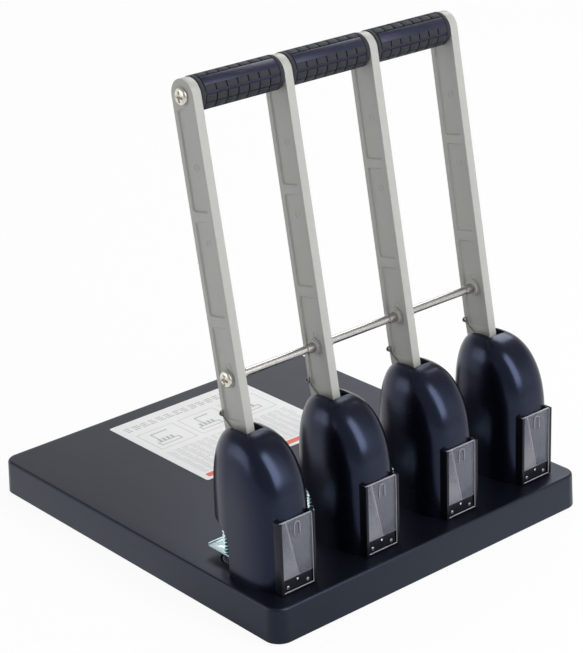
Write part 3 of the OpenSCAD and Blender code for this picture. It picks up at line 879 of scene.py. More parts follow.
BASE_PLASTIC = MouldedPlastic(
    "textured black plastic", "base_black", colour=(0.002, 0.0026, 0.005), dusty=(0.0055, 0.007, 0.0125),
    roughness=0.36, specular=0.5, tint=(0.56, 0.69, 1.0), grain_mm=0.55, grain_depth_mm=0.04)
HOOD_PLASTIC = MouldedPlastic(
    "satin black plastic", "hood_black", colour=(0.0022, 0.0027, 0.005), dusty=(0.004, 0.005, 0.009),
    roughness=0.24, specular=0.55, tint=(0.48, 0.58, 1.0), grain_mm=0.8, grain_depth_mm=0.008)
FRAME_PLASTIC = MouldedPlastic(
    "gloss black plastic", "window_frame_black", colour=(0.004, 0.004, 0.006), dusty=(0.009, 0.0095, 0.012),
    roughness=0.32, specular=0.35, tint=(0.7, 0.78, 1.0), grain_mm=0.9, grain_depth_mm=0.006)
DISC_PLASTIC = MouldedPlastic(
    "hard grey plastic", "disc_plastic", colour=(0.075, 0.072, 0.072), dusty=(0.11, 0.1, 0.1),
    roughness=0.4, specular=0.4, tint=(1.0, 1.0, 1.0), grain_mm=0.6, grain_depth_mm=0.03)
FOOT_RUBBER = GripRubber("foot rubber", "foot_rubber", (0.016, 0.016, 0.017), (0.04, 0.04, 0.042), 0.7)
GRIP_RUBBER = GripRubber("grip rubber", "grip_rubber", (0.006, 0.0065, 0.02), (0.016, 0.017, 0.042), 0.38)
ARM_PAINT = PaintedCasting("warm grey paint", "arm_grey", (0.43, 0.43, 0.408), (0.38, 0.376, 0.358), 0.42)
ZINC = PlatedMetal("blue zinc plate", "zinc_plate", (0.78, 0.97, 1.0), (0.58, 0.76, 0.82), 0.28)
NICKEL = PlatedMetal("nickel plate", "nickel", (0.76, 0.73, 0.67), (0.5, 0.46, 0.4), 0.2)
ROD_NICKEL = PlatedMetal("drawn nickel rod", "nickel", (0.5, 0.49, 0.475), (0.34, 0.325, 0.3), 0.28,
                         (0.06, 1.0, 1.0))
TOOL_STEEL = PlatedMetal("ground tool steel", "tool_steel", (0.45, 0.45, 0.46), (0.26, 0.25, 0.25), 0.33,
                         (1.0, 1.0, 0.1))
DARK_STEEL = PlatedMetal("oiled steel", "tool_steel", (0.1, 0.105, 0.11), (0.05, 0.05, 0.05), 0.4)
SPRING_STEEL = PlatedMetal("spring wire", "nickel", (0.24, 0.23, 0.22), (0.12, 0.11, 0.1), 0.35)
BRONZE = PlatedMetal("bearing bronze", "bronze", (0.62, 0.46, 0.24), (0.4, 0.27, 0.12), 0.36)
# The pane's window carries a painted light line and a painted lit patch.
PANE = ClearPlastic(
    "clear window", "clear_window", colour=(0.16, 0.17, 0.21), pale=(0.21, 0.22, 0.26),
    milk=0.4, frosted=0.22, roughness=0.14, flow=0.5)
# The thumb loop's rib is painted paler and milkier than the pane, a painted highlight.
PANE_RIB_PAINTED_HIGHLIGHT = ClearPlastic(
    "raised rib", "clear_window", colour=(0.26, 0.27, 0.31), pale=(0.36, 0.37, 0.41),
    milk=0.6, frosted=0.2, roughness=0.2)
# This pale finish is partly the milky look of a cut edge and partly a painted highlight. It is used on the
# pane's edges and on the bright bead.
CUT_EDGE_AND_PAINTED_HIGHLIGHT = ClearPlastic(
    "bright cut edge", "clear_window", colour=(0.5, 0.52, 0.57), pale=(0.62, 0.64, 0.69),
    milk=0.8, frosted=0.2, roughness=0.3)
LABEL_PAPER = PrintedSheet("label paper", "label_white", (0.91, 0.91, 0.92), (0.86, 0.86, 0.87))
GREY_INK = PrintedSheet("grey ink", "label_white", (0.44, 0.44, 0.45), (0.55, 0.55, 0.56))
RED_INK = PrintedSheet("red ink", "label_white", (0.78, 0.13, 0.07), (0.8, 0.2, 0.13))
MARK_INK = PrintedSheet("white mark", "window_frame_black", (0.8, 0.8, 0.8), (0.7, 0.7, 0.7))


# Pieces


def add_piece(name: str, mesh: bpy.types.Mesh, finishes: Sequence[Finish], body: str,
              stands_for: Sequence[str] = ()) -> bpy.types.Object:
    """Makes a finished mesh a piece of the punch.

    Args:
        name: The piece's name.
        mesh: Its mesh, in millimetres.
        finishes: Its finishes, in the order of the mesh's material numbers.
        body: The body that it rides on.
        stands_for: The CAD nodes that it replaces.

    Returns:
        The new object.
    """
    mesh.transform(Matrix.Scale(MM, 4))
    mesh.name = name
    if mesh.materials:
        mesh.materials.clear()
    for finish in finishes:
        mesh.materials.append(finish.material())
    obj = linked_object(name, mesh)
    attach(obj, body)
    if stands_for:
        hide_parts(*stands_for)
    LOG.info("%s: %d faces on %s", name, len(mesh.polygons), body)
    return obj


def add_at_heads(name: str, mesh: bpy.types.Mesh, finishes: Sequence[Finish], body: str = "base",
                 stands_for: str = "") -> None:
    """Makes a mesh drawn around a head's middle a piece at each of the four heads.

    Args:
        name: The pieces' name, to which the head's number is added.
        mesh: The mesh around the head's middle.
        finishes: Its finishes.
        body: The body's name, where {} stands for the head's number.
        stands_for: The CAD node that it replaces, in the same way.
    """
    for i in HEADS:
        copy = mesh.copy()
        copy.transform(Matrix.Translation(head_at(i)))
        nodes = [stands_for.format(i)] if stands_for else []
        add_piece(f"{name}_{i}", copy, finishes, body.format(i), nodes)
    bpy.data.meshes.remove(mesh)


def dress(finish: Finish, *nodes: str) -> None:
    """Gives CAD nodes that keep their shape a finish.

    Args:
        finish: The finish.
        nodes: The nodes' names.
    """
    for name in nodes:
        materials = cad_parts[name].data.materials
        materials.clear()
        materials.append(finish.material())
        LOG.info("%s: dressed in %s", name, finish.name)


def numbered(*names: str) -> list[str]:
    """Returns each name with the number of each head."""
    return [f"{name}_{i}" for name in names for i in HEADS]


@dataclass(frozen=True)
class PanScrew:
    """A domed screw head with a cross recess, standing on its seat along Z."""

    diameter: float
    height: float
    sides: int = 40
    rim: float = 0.3
    roundness: float = 0.55
    cross: Flat = (0.33, 0.095)
    cross_depth: float = 0.85
    cross_taper: Flat = (0.55, 1.15)

    def solid(self) -> Solid:
        """Turns the head and cuts its cross.

        Returns:
            The head.
        """
        r, h = self.diameter / 2, self.height
        angles = [math.radians(a) for a in range(0, 90, 9)]
        dome = [(r * math.cos(a) ** self.roundness, h * (self.rim + (1 - self.rim) * math.sin(a)))
                for a in angles]
        head = Solid().lathe([(r * 0.97, 0), (r, h * 0.08), *dome], Axis.Z, sides=self.sides)
        return head.minus(self._recess(0), self._recess(1))

    def _recess(self, turn: int) -> Solid:
        """Draws one bar of the cross, wider and longer at the top.

        Args:
            turn: 0 for the bar along X, 1 for the one along Y.

        Returns:
            The bar.
        """
        long, wide = (self.diameter * share for share in self.cross)
        heights = (self.height * (1 - self.cross_depth), self.height * 1.2)
        rings = []
        for grow, z in zip(self.cross_taper, heights):
            corners = rectangle((-long * grow, -wide * grow), (long * grow, wide * grow))
            rings.append([(v, u, z) if turn else (u, v, z) for u, v in corners])
        return Solid().loft(rings)


@dataclass
class Base:
    """The hollow base with its discs, feet, plate and screws."""

    width: float = 307.5
    depth: float = 339.0
    corner: float = 12.5
    draft: float = 1.0
    edge: float = 2.2
    lip: float = 0.5
    wall: float = 3.0
    disc_r: float = 12.4
    pocket_r: float = 14.0
    disc_t: float = 5.0
    disc_proud: float = 0.5
    foot_r: float = 11.0
    foot_inset: float = 24.0
    screw_inset: float = 45.0
    screw: PanScrew = PanScrew(7.0, 1.4)

    def build(self) -> None:
        """Adds the base's pieces."""
        add_piece("base_shell", smoothed(self._shell().mesh("shell"), 25), [BASE_PLASTIC], "base",
                  ["base_cover"])
        places = [tuple(head_at(i) + Vector((0, 0, self.disc_proud - self.disc_t))) for i in HEADS]
        discs = repeated_mesh(self._disc(), places, (0, 0, 1), DISC_PLASTIC.material())
        add_piece("cutting_disc_set", discs, [DISC_PLASTIC], "base", ["cutting_discs"])
        feet = repeated_mesh(self._foot(), self._side_places(self.foot_inset), (0, 0, -1),
                             FOOT_RUBBER.material())
        add_piece("ribbed_feet", feet, [FOOT_RUBBER], "base", ["rubber_feet"])
        heads = repeated_mesh(self.screw.solid(), self._side_places(self.screw_inset), (0, 0, -1),
                              NICKEL.material())
        add_piece("base_screw_heads", heads, [NICKEL], "base", ["base_screws"])
        dress(ZINC, "base_plate")

    def _outline(self, inset: float, z: float) -> list[Point]:
        """Draws the base's plan.

        Args:
            inset: How far it is drawn in from the base's sides.
            z: Its height.

        Returns:
            The plan's points.
        """
        w, d, r = self.width / 2 - inset, self.depth / 2 - inset, self.corner - inset
        points = []
        for sx, sy, start in ((1, 1, 0), (-1, 1, 90), (-1, -1, 180), (1, -1, 270)):
            points += arc((sx * (w - r), sy * (d - r)), r, start, start + 90, 14)
        return [(x, y, z) for x, y in points]

    def _shell(self) -> Solid:
        """Builds the cover with drafted walls, a rounded top edge and pockets for the discs.

        Returns:
            The cover.
        """
        lip, soft = self.lip, 0.3 * self.lip
        inside = [(self.wall + self.draft, BASE_TOP - self.wall), (self.wall, FOOT_H)]
        wall_top = BASE_TOP - self.edge
        outside = [(lip, FOOT_H), (soft, FOOT_H + soft), (0.0, FOOT_H + lip), (self.draft / 2, wall_top / 2),
                   (self.draft, wall_top)]
        for k in range(1, 9):
            a = math.radians(90 * k / 8)
            outside.append((self.draft + self.edge * (1 - math.cos(a)), wall_top + self.edge * math.sin(a)))
        shell = Solid().loft([self._outline(inset, z) for inset, z in inside + outside])
        pockets = Solid()
        for i in HEADS:
            at = head_at(i)
            pockets.rod(self.pocket_r, (BASE_TOP - 2 * self.wall, BASE_TOP + 1), Axis.Z, (at.x, at.y), 64)
        return shell.minus(pockets)

    def _disc(self) -> Solid:
        """Turns a cutting disc with a chamfer, a ring groove and the punch's dimple.

        Returns:
            The disc.
        """
        r, t = self.disc_r, self.disc_t
        rim = [(r - 0.4, 0), (r, 0.4), (r, t - 0.5), (r - 0.5, t)]
        groove = [(r - 2.2, t), (r - 2.4, t - 0.3), (r - 3.0, t - 0.3), (r - 3.2, t)]
        dimple = [(4.2, t), (3.6, t - 0.25), (3.1, t - 0.25), (3.0, t - 1.4)]
        return Solid().lathe([*rim, *groove, *dimple], Axis.Z, sides=64)

    def _foot(self) -> Solid:
        """Turns a rubber foot with rounded edges and two tread grooves.

        Returns:
            The foot.
        """
        r, h = self.foot_r, FOOT_H
        profile = [(r, 0), (r, h - 0.7), (r - 0.2, h - 0.2), (r - 0.7, h)]
        for groove in (r - 2.6, r - 6.2):
            profile += [(groove, h), (groove - 0.3, h - 0.4), (groove - 1.2, h - 0.4), (groove - 1.5, h)]
        return Solid().lathe(profile, Axis.Z, sides=56)

    def _side_places(self, inset: float) -> list[Point]:
        """Returns three places down each long side of the base's underside."""
        return [(sx * (self.width / 2 - inset), sy * (self.depth / 2 - inset), FOOT_H)
                for sx in SIDES for sy in (-1, 0, 1)]


@dataclass(frozen=True)
class BarRows:
    """Rows of short bars in place of print: how many, how far apart, and where they start on the label."""

    rows: int
    pitch: float
    start: Flat
    bars: int
    height: float


@dataclass
class Label:
    """The instruction label on the base, printed with plain bars and boxes."""

    width: float = 137.0
    depth: float = 129.0
    thickness: float = 0.3
    corner: float = 2.0
    middle: Flat = (8.0, 86.5)
    ink_lift: float = 0.02
    text: BarRows = BarRows(20, 2.45, (6.0, 13.0), 17, 0.55)
    captions: BarRows = BarRows(3, 3.0, (6.0, 112.0), 15, 1.2)
    bar_inset: float = 5.0
    bar_span: Flat = (3.5, 9.5)
    bar_corner: float = 1.5
    sketches_left: tuple[float, ...] = (8.0, 50.0, 92.0)
    sketch_low: float = 68.0
    sketch_size: Flat = (36.0, 34.0)
    line: float = 0.45
    seed: int = 7

    @property
    def origin(self) -> Vector:
        """The label's low corner, at the height of its print."""
        return Vector((self.middle[0] - self.width / 2, self.middle[1] - self.depth / 2,
                       BASE_TOP + self.thickness + self.ink_lift))

    def build(self) -> None:
        """Adds the sheet and its print."""
        x, y, print_z = self.origin
        plan = rounded(rectangle((x, y), (x + self.width, y + self.depth)), self.corner)
        sheet = Solid().prism(plan, BASE_TOP, BASE_TOP + self.thickness, Axis.Z)
        add_piece("label_sheet", smoothed(sheet.bevelled(0.08, 1).mesh("sheet")), [LABEL_PAPER], "base",
                  ["instruction_label"])
        add_piece("label_rows", self._rows(self.text), [GREY_INK], "base")
        add_piece("label_captions", self._rows(self.captions), [GREY_INK], "base")
        add_piece("label_sketches", self._sketches(), [GREY_INK], "base")
        low, high = (y + v for v in self.bar_span)
        bar = rounded(rectangle((x + self.bar_inset, low), (x + self.width - self.bar_inset, high)),
                      self.bar_corner)
        band = Solid().prism(bar, print_z, print_z + self.ink_lift, Axis.Z)
        add_piece("label_bar", band.mesh("bar"), [RED_INK], "base")

    def _rows(self, block: BarRows) -> bpy.types.Mesh:
        """Prints rows of short bars of uneven length.

        Args:
            block: The rows.

        Returns:
            The print's mesh.
        """
        bar = bpy.data.meshes.new("bar")
        bar.from_pydata([(0, 0, 0), (1, 0, 0), (1, 1, 0), (0, 1, 0)], [], [(0, 1, 2, 3)])
        tree = GeometryTree("printed rows")
        across = tree.size("Bars", block.bars)
        step = tree.size("Bar pitch", (self.width - 2 * block.start[0]) / block.bars)
        points, index = tree.line(tree.size("Rows", block.rows) * across)
        row = (index / across).math("FLOOR")
        column = index.math("MODULO", across)
        seed = tree.size("Seed", self.seed)
        left = column * step + tree.random(0.0, 1.2, seed)
        placed = tree.node("GeometryNodeSetPosition", None, {
            "Geometry": points,
            "Position": tree.combine(left, row * tree.size("Row pitch", block.pitch), 0.0)})
        length = step * tree.random(0.55, 0.86, seed + 1)
        spread = tree.node("GeometryNodeInstanceOnPoints", None, {
            "Points": placed.outputs[0], "Instance": tree.start.outputs["Geometry"],
            "Scale": tree.combine(length, tree.size("Bar height", block.height), 1.0)})
        mesh = tree.run(spread.outputs[0], bar, GREY_INK.material())
        mesh.transform(Matrix.Translation(self.origin + Vector((*block.start, 0))))
        return mesh

    def _bars(self, bars: Sequence[tuple[float, float, float, float]]) -> bpy.types.Mesh:
        """Prints plain bars.

        Args:
            bars: Each bar's low and high corners on the label.

        Returns:
            The print's mesh.
        """
        solid = Solid()
        for u0, v0, u1, v1 in bars:
            low, high = self.origin + Vector((u0, v0, 0)), self.origin + Vector((u1, v1, self.ink_lift))
            solid.box(tuple(low), tuple(high))
        return solid.mesh("bars")

    def _sketches(self) -> bpy.types.Mesh:
        """Prints three boxes, each with a plain line figure of a row of posts under a lever.

        Returns:
            The print's mesh.
        """
        v, line = self.sketch_low, self.line
        w, d = self.sketch_size
        bars = []
        for k, u in enumerate(self.sketches_left):
            bars += [(u, v, u + w, v + line), (u, v + d, u + w, v + d + line), (u, v, u + line, v + d),
                     (u + w, v, u + w + line, v + d)]
            bars += [(u + 5, v + 6, u + 26, v + 6.9), (u + 5, v + 6, u + 5.9, v + 12),
                     (u + 5, v + 11, u + 26, v + 12), (u + 25, v + 6, u + 26, v + 12)]
            bars += [(u + 8 + 4 * j, v + 12, u + 10.2 + 4 * j, v + 17) for j in range(4)]
            post = u + 9 + 3 * k
            bars += [(post, v + 17, post + 1, v + 28), (post, v + 27, u + 26, v + 28.4)]
        return self._bars(bars)


@dataclass
class Hood:
    """The domed cover of a head, drawn around the head's middle."""

    half_width: float = 24.0
    middle_y: float = -17.8
    front: float = 44.5
    back: float = 32.0
    top: float = 109.0
    dome_start: float = 48.5
    back_start: float = 40.0
    wall: float = 2.2
    throat_h: float = 38.5
    throat_r: float = 15.0
    slot_half: float = 8.0
    slot_front: float = -24.39
    slot_low: float = 50.0
    window_half: float = 13.65
    window_z: Flat = (8.0, 52.1)
    window_depth: float = 9.0
    front_power: float = 3.25
    back_power: float = 2.0
    dome_powers: tuple[float, float, float] = (2.2, 3.3, 3.2)
    crown: float = 0.9996
    steps: int = 112
    wall_levels: int = 6
    levels: int = 30

    def ring(self, z: float, top: float, inset: float) -> list[Point]:
        """Draws the hood's outline at a height.

        Args:
            z: The height.
            top: The height of the dome's top.
            inset: How far it is drawn in.

        Returns:
            The outline's points.
        """
        starts = (self.dome_start, self.dome_start, self.back_start)
        rises = [min(1.0, max(0.0, (z - start) / (top - start))) for start in starts]
        front, side, back = ((1 - t ** p) ** (1 / p) for t, p in zip(rises, self.dome_powers))
        points = []
        for k in range(self.steps):
            a = 2 * math.pi * k / self.steps
            c, s = math.cos(a), math.sin(a)
            power = 2 / (self.front_power if s < 0 else self.back_power)
            reach = (self.front - inset) * front if s < 0 else (self.back - inset) * back
            points.append(((self.half_width - inset) * side * math.copysign(abs(c) ** power, c),
                           self.middle_y + reach * math.copysign(abs(s) ** power, s), z))
        return points

    def solid(self, low: float, inset: float) -> Solid:
        """Builds the whole dome, filled.

        Args:
            low: The height at which it starts.
            inset: How far it is drawn in.

        Returns:
            The dome.
        """
        top = self.top - inset
        rise = top - self.dome_start
        heights = [low + (self.dome_start - low) * k / self.wall_levels for k in range(self.wall_levels)]
        heights += [self.dome_start + rise * self.crown * math.sin(math.pi / 2 * k / self.levels)
                    for k in range(self.levels + 1)]
        return Solid().loft([self.ring(z, top, inset) for z in heights])

    def build(self) -> None:
        """Adds the four hoods."""
        wide = self.half_width + 1
        inner = self.solid(-1, self.wall)
        inner.minus(Solid().prism(self._throat(self.wall, self.throat_r), -wide, wide, Axis.X))
        tools = Solid().prism(self._throat(0, self.back + 1), -wide, wide, Axis.X)
        tools.box((-self.slot_half, self.slot_front, self.slot_low),
                  (self.slot_half, self.back, self.top + 1))
        nose = self.middle_y - self.front
        tools.box((-self.window_half, nose - 1, self.window_z[0]),
                  (self.window_half, nose + self.window_depth, self.window_z[1]))
        shell = self.solid(0, 0).minus(inner, tools)
        add_at_heads("hood_shell", smoothed(shell.mesh("hood"), 28), [HOOD_PLASTIC], stands_for="hood_{}")

    def _throat(self, grow: float, depth: float) -> list[Flat]:
        """Draws the paper throat's outline in Y and Z.

        Args:
            grow: The wall added in front of it and above it.
            depth: How far it runs back.

        Returns:
            The outline's points.
        """
        y, r = self.middle_y - grow, self.throat_r - grow
        rise = self.throat_h - self.throat_r + grow
        turn = math.degrees(math.asin(min(1.0, (self.throat_h - rise) / r)))
        corner = arc((y + r, rise), r, 180, 180 - turn, 10)
        below = -1.5
        return [(y, below), *corner, (y + depth, self.throat_h), (y + depth, below)]


@dataclass
class ChipWindow:
    """The chip window of a head: its frame, clear pane, screws and mark."""

    hood: Hood
    front: float = -65.6
    half: float = 15.95
    low: float = 0.5
    high: float = 56.1
    strip: float = 11.0
    strip_recess: float = 1.9
    rim: float = 1.0
    side: float = 2.3
    depth: float = 12.2
    groove: float = 1.4
    pane_front: float = -64.4
    pane_t: float = 1.8
    pane_half: float = 14.85
    pane_top: float = 55.6
    grip_half: float = 3.1
    grip_z: Flat = (43.5, 54.0)
    grip_rib: Flat = (1.1, 0.9)
    bead: float = 0.32
    mark_drop: float = 2.2
    mark_size: Flat = (2.0, 1.9)
    screw_x: float = 9.05
    screw_z: float = 4.5
    screw: PanScrew = PanScrew(2.8, 0.7, 28)

    def build(self) -> None:
        """Adds the four windows."""
        add_at_heads("window_surround", smoothed(self._frame().mesh("frame")), [FRAME_PLASTIC],
                     stands_for="window_frame_{}")
        pane = self._pane()
        # The pane's edge faces get the pale edge finish, partly a painted highlight.
        pane.painted(1, lambda f: abs(f.normal.y) < 0.6)
        # The thumb loop's faces get the rib finish, painted paler as a highlight.
        pane.painted(2, lambda f: f.calc_center_median().y < self.pane_front - 0.05)
        add_at_heads("sliding_pane", smoothed(pane.mesh("pane")), [PANE, CUT_EDGE_AND_PAINTED_HIGHLIGHT, PANE_RIB_PAINTED_HIGHLIGHT], "window_{}",
                     "chip_window_{}")
        add_at_heads("window_bead", smoothed(self._bead().mesh("bead")), [CUT_EDGE_AND_PAINTED_HIGHLIGHT])
        add_at_heads("window_mark", self._mark().mesh("mark"), [MARK_INK])
        places = [tuple(head_at(i) + Vector((s * self.screw_x, self.front + self.strip_recess, self.screw_z)))
                  for i in HEADS for s in SIDES]
        screws = repeated_mesh(self.screw.solid(), places, (0, -1, 0), TOOL_STEEL.material())
        add_piece("window_screw_heads", screws, [TOOL_STEEL], "base", ["window_screws"])

    def _frame(self) -> Solid:
        """Builds the surround: two grooved rails and a strip below, fitted to the hood.

        Returns:
            The surround.
        """
        inner = self.half - self.side
        outline = [(-self.half, self.low), (self.half, self.low), (self.half, self.high), (inner, self.high),
                   (inner, self.strip), (-inner, self.strip), (-inner, self.high), (-self.half, self.high)]
        solid = Solid().prism(outline, self.front, self.front + self.depth, Axis.Y).bevelled(0.22, 2)
        cut = inner + self.groove
        groove = Solid().box((-cut, self.pane_front - 0.2, self.strip),
                             (cut, self.pane_front + self.pane_t + 0.2, self.high + 1))
        recess = Solid().box((-inner, self.front - 1, self.low + self.rim),
                             (inner, self.front + self.strip_recess, self.strip + 1))
        return solid.minus(groove, recess, self.hood.solid(-1, -0.15))

    def _pane(self) -> Solid:
        """Builds the clear pane with its raised thumb loop.

        Returns:
            The pane.
        """
        y = self.pane_front
        rib, proud = self.grip_rib
        solid = Solid().box((-self.pane_half, y, self.strip),
                            (self.pane_half, y + self.pane_t, self.pane_top))
        solid.bevelled(0.3, 2)
        low, high = self.grip_z
        r = self.grip_half
        outline = [(r, low), *arc((0, high - r), r, 0, 180, 14), (-r, low)]
        outline += [(-r + rib, low), *arc((0, high - r), r - rib, 180, 0, 14), (r - rib, low)]
        return solid.joined(Solid().prism(outline, y - proud, y + 0.1, Axis.Y).bevelled(0.25, 2))

    def _bead(self) -> Solid:
        """Draws the thin bright bead inside the sides and along the bottom of the window's front, a painted
        highlight line along those edges.

        Returns:
            The bead.
        """
        outer, low, top = self.half - self.side + 0.1, self.low + self.rim - 0.1, self.high - 0.4
        inner, floor = outer - self.bead, low + self.bead
        outline = [(-outer, low), (outer, low), (outer, top), (inner, top), (inner, floor), (-inner, floor),
                   (-inner, top), (-outer, top)]
        return Solid().prism(outline, self.front + 0.3, self.front + 1.0, Axis.Y).bevelled(0.08, 2)

    def _mark(self) -> Solid:
        """Draws the small pointer near the top of the strip.

        Returns:
            The pointer.
        """
        z, y = self.strip - self.mark_drop, self.front + self.strip_recess
        wide, tall = self.mark_size
        return Solid().prism([(-wide / 2, z), (0, z - tall), (wide / 2, z)], y - 0.06, y + 0.1, Axis.Y)


@dataclass
class Presser:
    """The sprung plate that holds the paper at a head, with its two rods and springs."""

    half: float = 14.0
    front: float = -11.8
    back: float = 20.0
    top: float = 8.0
    thickness: float = 1.5
    corner: float = 3.0
    edge: float = 0.8
    rim: float = 1.2
    rod_x: float = 11.0
    rod_d: float = 3.0
    rod_top: float = 47.5
    hole_r: float = 4.0
    spring_d: float = 6.4
    spring_wire: float = 1.2
    spring_top: float = 38.5
    turns: float = 10.0
    shut_turns: float = 0.75
    turn_steps: int = 24
    travel: float = 16.0

    def build(self) -> None:
        """Adds the plates and the springs."""
        add_at_heads("presser", smoothed(self._plate().mesh("plate")), [ZINC, DARK_STEEL], "presser_{}",
                     "presser_plate_{}")
        for i in HEADS:
            mesh = merged("coils", [self._coil(s * self.rod_x) for s in SIDES])
            mesh.transform(Matrix.Translation(head_at(i)))
            obj = add_piece(f"presser_coils_{i}", smoothed(mesh), [ZINC], "base", [f"presser_springs_{i}"])
            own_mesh(obj)

    def _plate(self) -> Solid:
        """Builds the flat plate with a slight rim at its rear edge, and the two rods.

        Returns:
            The plate.
        """
        low, rim = self.top - self.thickness, self.back - self.rim
        profile = [(self.front, low), (self.back, low), (self.back, self.top + self.edge),
                   (rim, self.top + self.edge), (rim - self.edge, self.top), (self.front, self.top)]
        plan = rounded(rectangle((-self.half, self.front), (self.half, self.back)), self.corner)
        keep = Solid().prism(plan, low - 1, self.top + self.edge + 1, Axis.Z)
        plate = Solid().prism(profile, -self.half - 1, self.half + 1, Axis.X).within(keep)
        plate.minus(Solid().rod(self.hole_r, (low - 1, self.top + 1), Axis.Z)).bevelled(0.25, 2)
        r = self.rod_d / 2
        rod = [(r + 1, low - 0.1), (r + 1, low + 0.3), (r, low + 0.5), (r, self.rod_top - 0.4),
               (r - 0.4, self.rod_top)]
        for s in SIDES:
            plate.joined(Solid().lathe(rod, Axis.Z, (s * self.rod_x, 0), 28))
        return plate.painted(1, lambda f: f.calc_center_median().z > self.top + self.edge + 0.5)

    def _coil(self, x: float) -> bpy.types.Mesh:
        """Winds one spring with closed ends.

        Args:
            x: Its place across the head.

        Returns:
            The spring's mesh.
        """
        radius = (self.spring_d - self.spring_wire) / 2
        low, high = self.top + self.spring_wire / 2 + 0.05, self.spring_top - self.spring_wire / 2 - 0.05
        shut, steps = self.shut_turns, self.turn_steps
        count = int((self.turns + 2 * shut) * steps)
        ends = self.spring_wire * 0.8 * shut
        path = []
        for k in range(count + 1):
            turn = k / steps
            if turn < shut:
                z = low + ends * turn / shut
            elif turn > self.turns + shut:
                z = high - ends * (self.turns + 2 * shut - turn) / shut
            else:
                z = low + ends + (high - low - 2 * ends) * (turn - shut) / self.turns
            a = 2 * math.pi * turn
            path.append((x + radius * math.cos(a), radius * math.sin(a), z))
        return wire_mesh(path, self.spring_wire, ZINC.material(), 10)


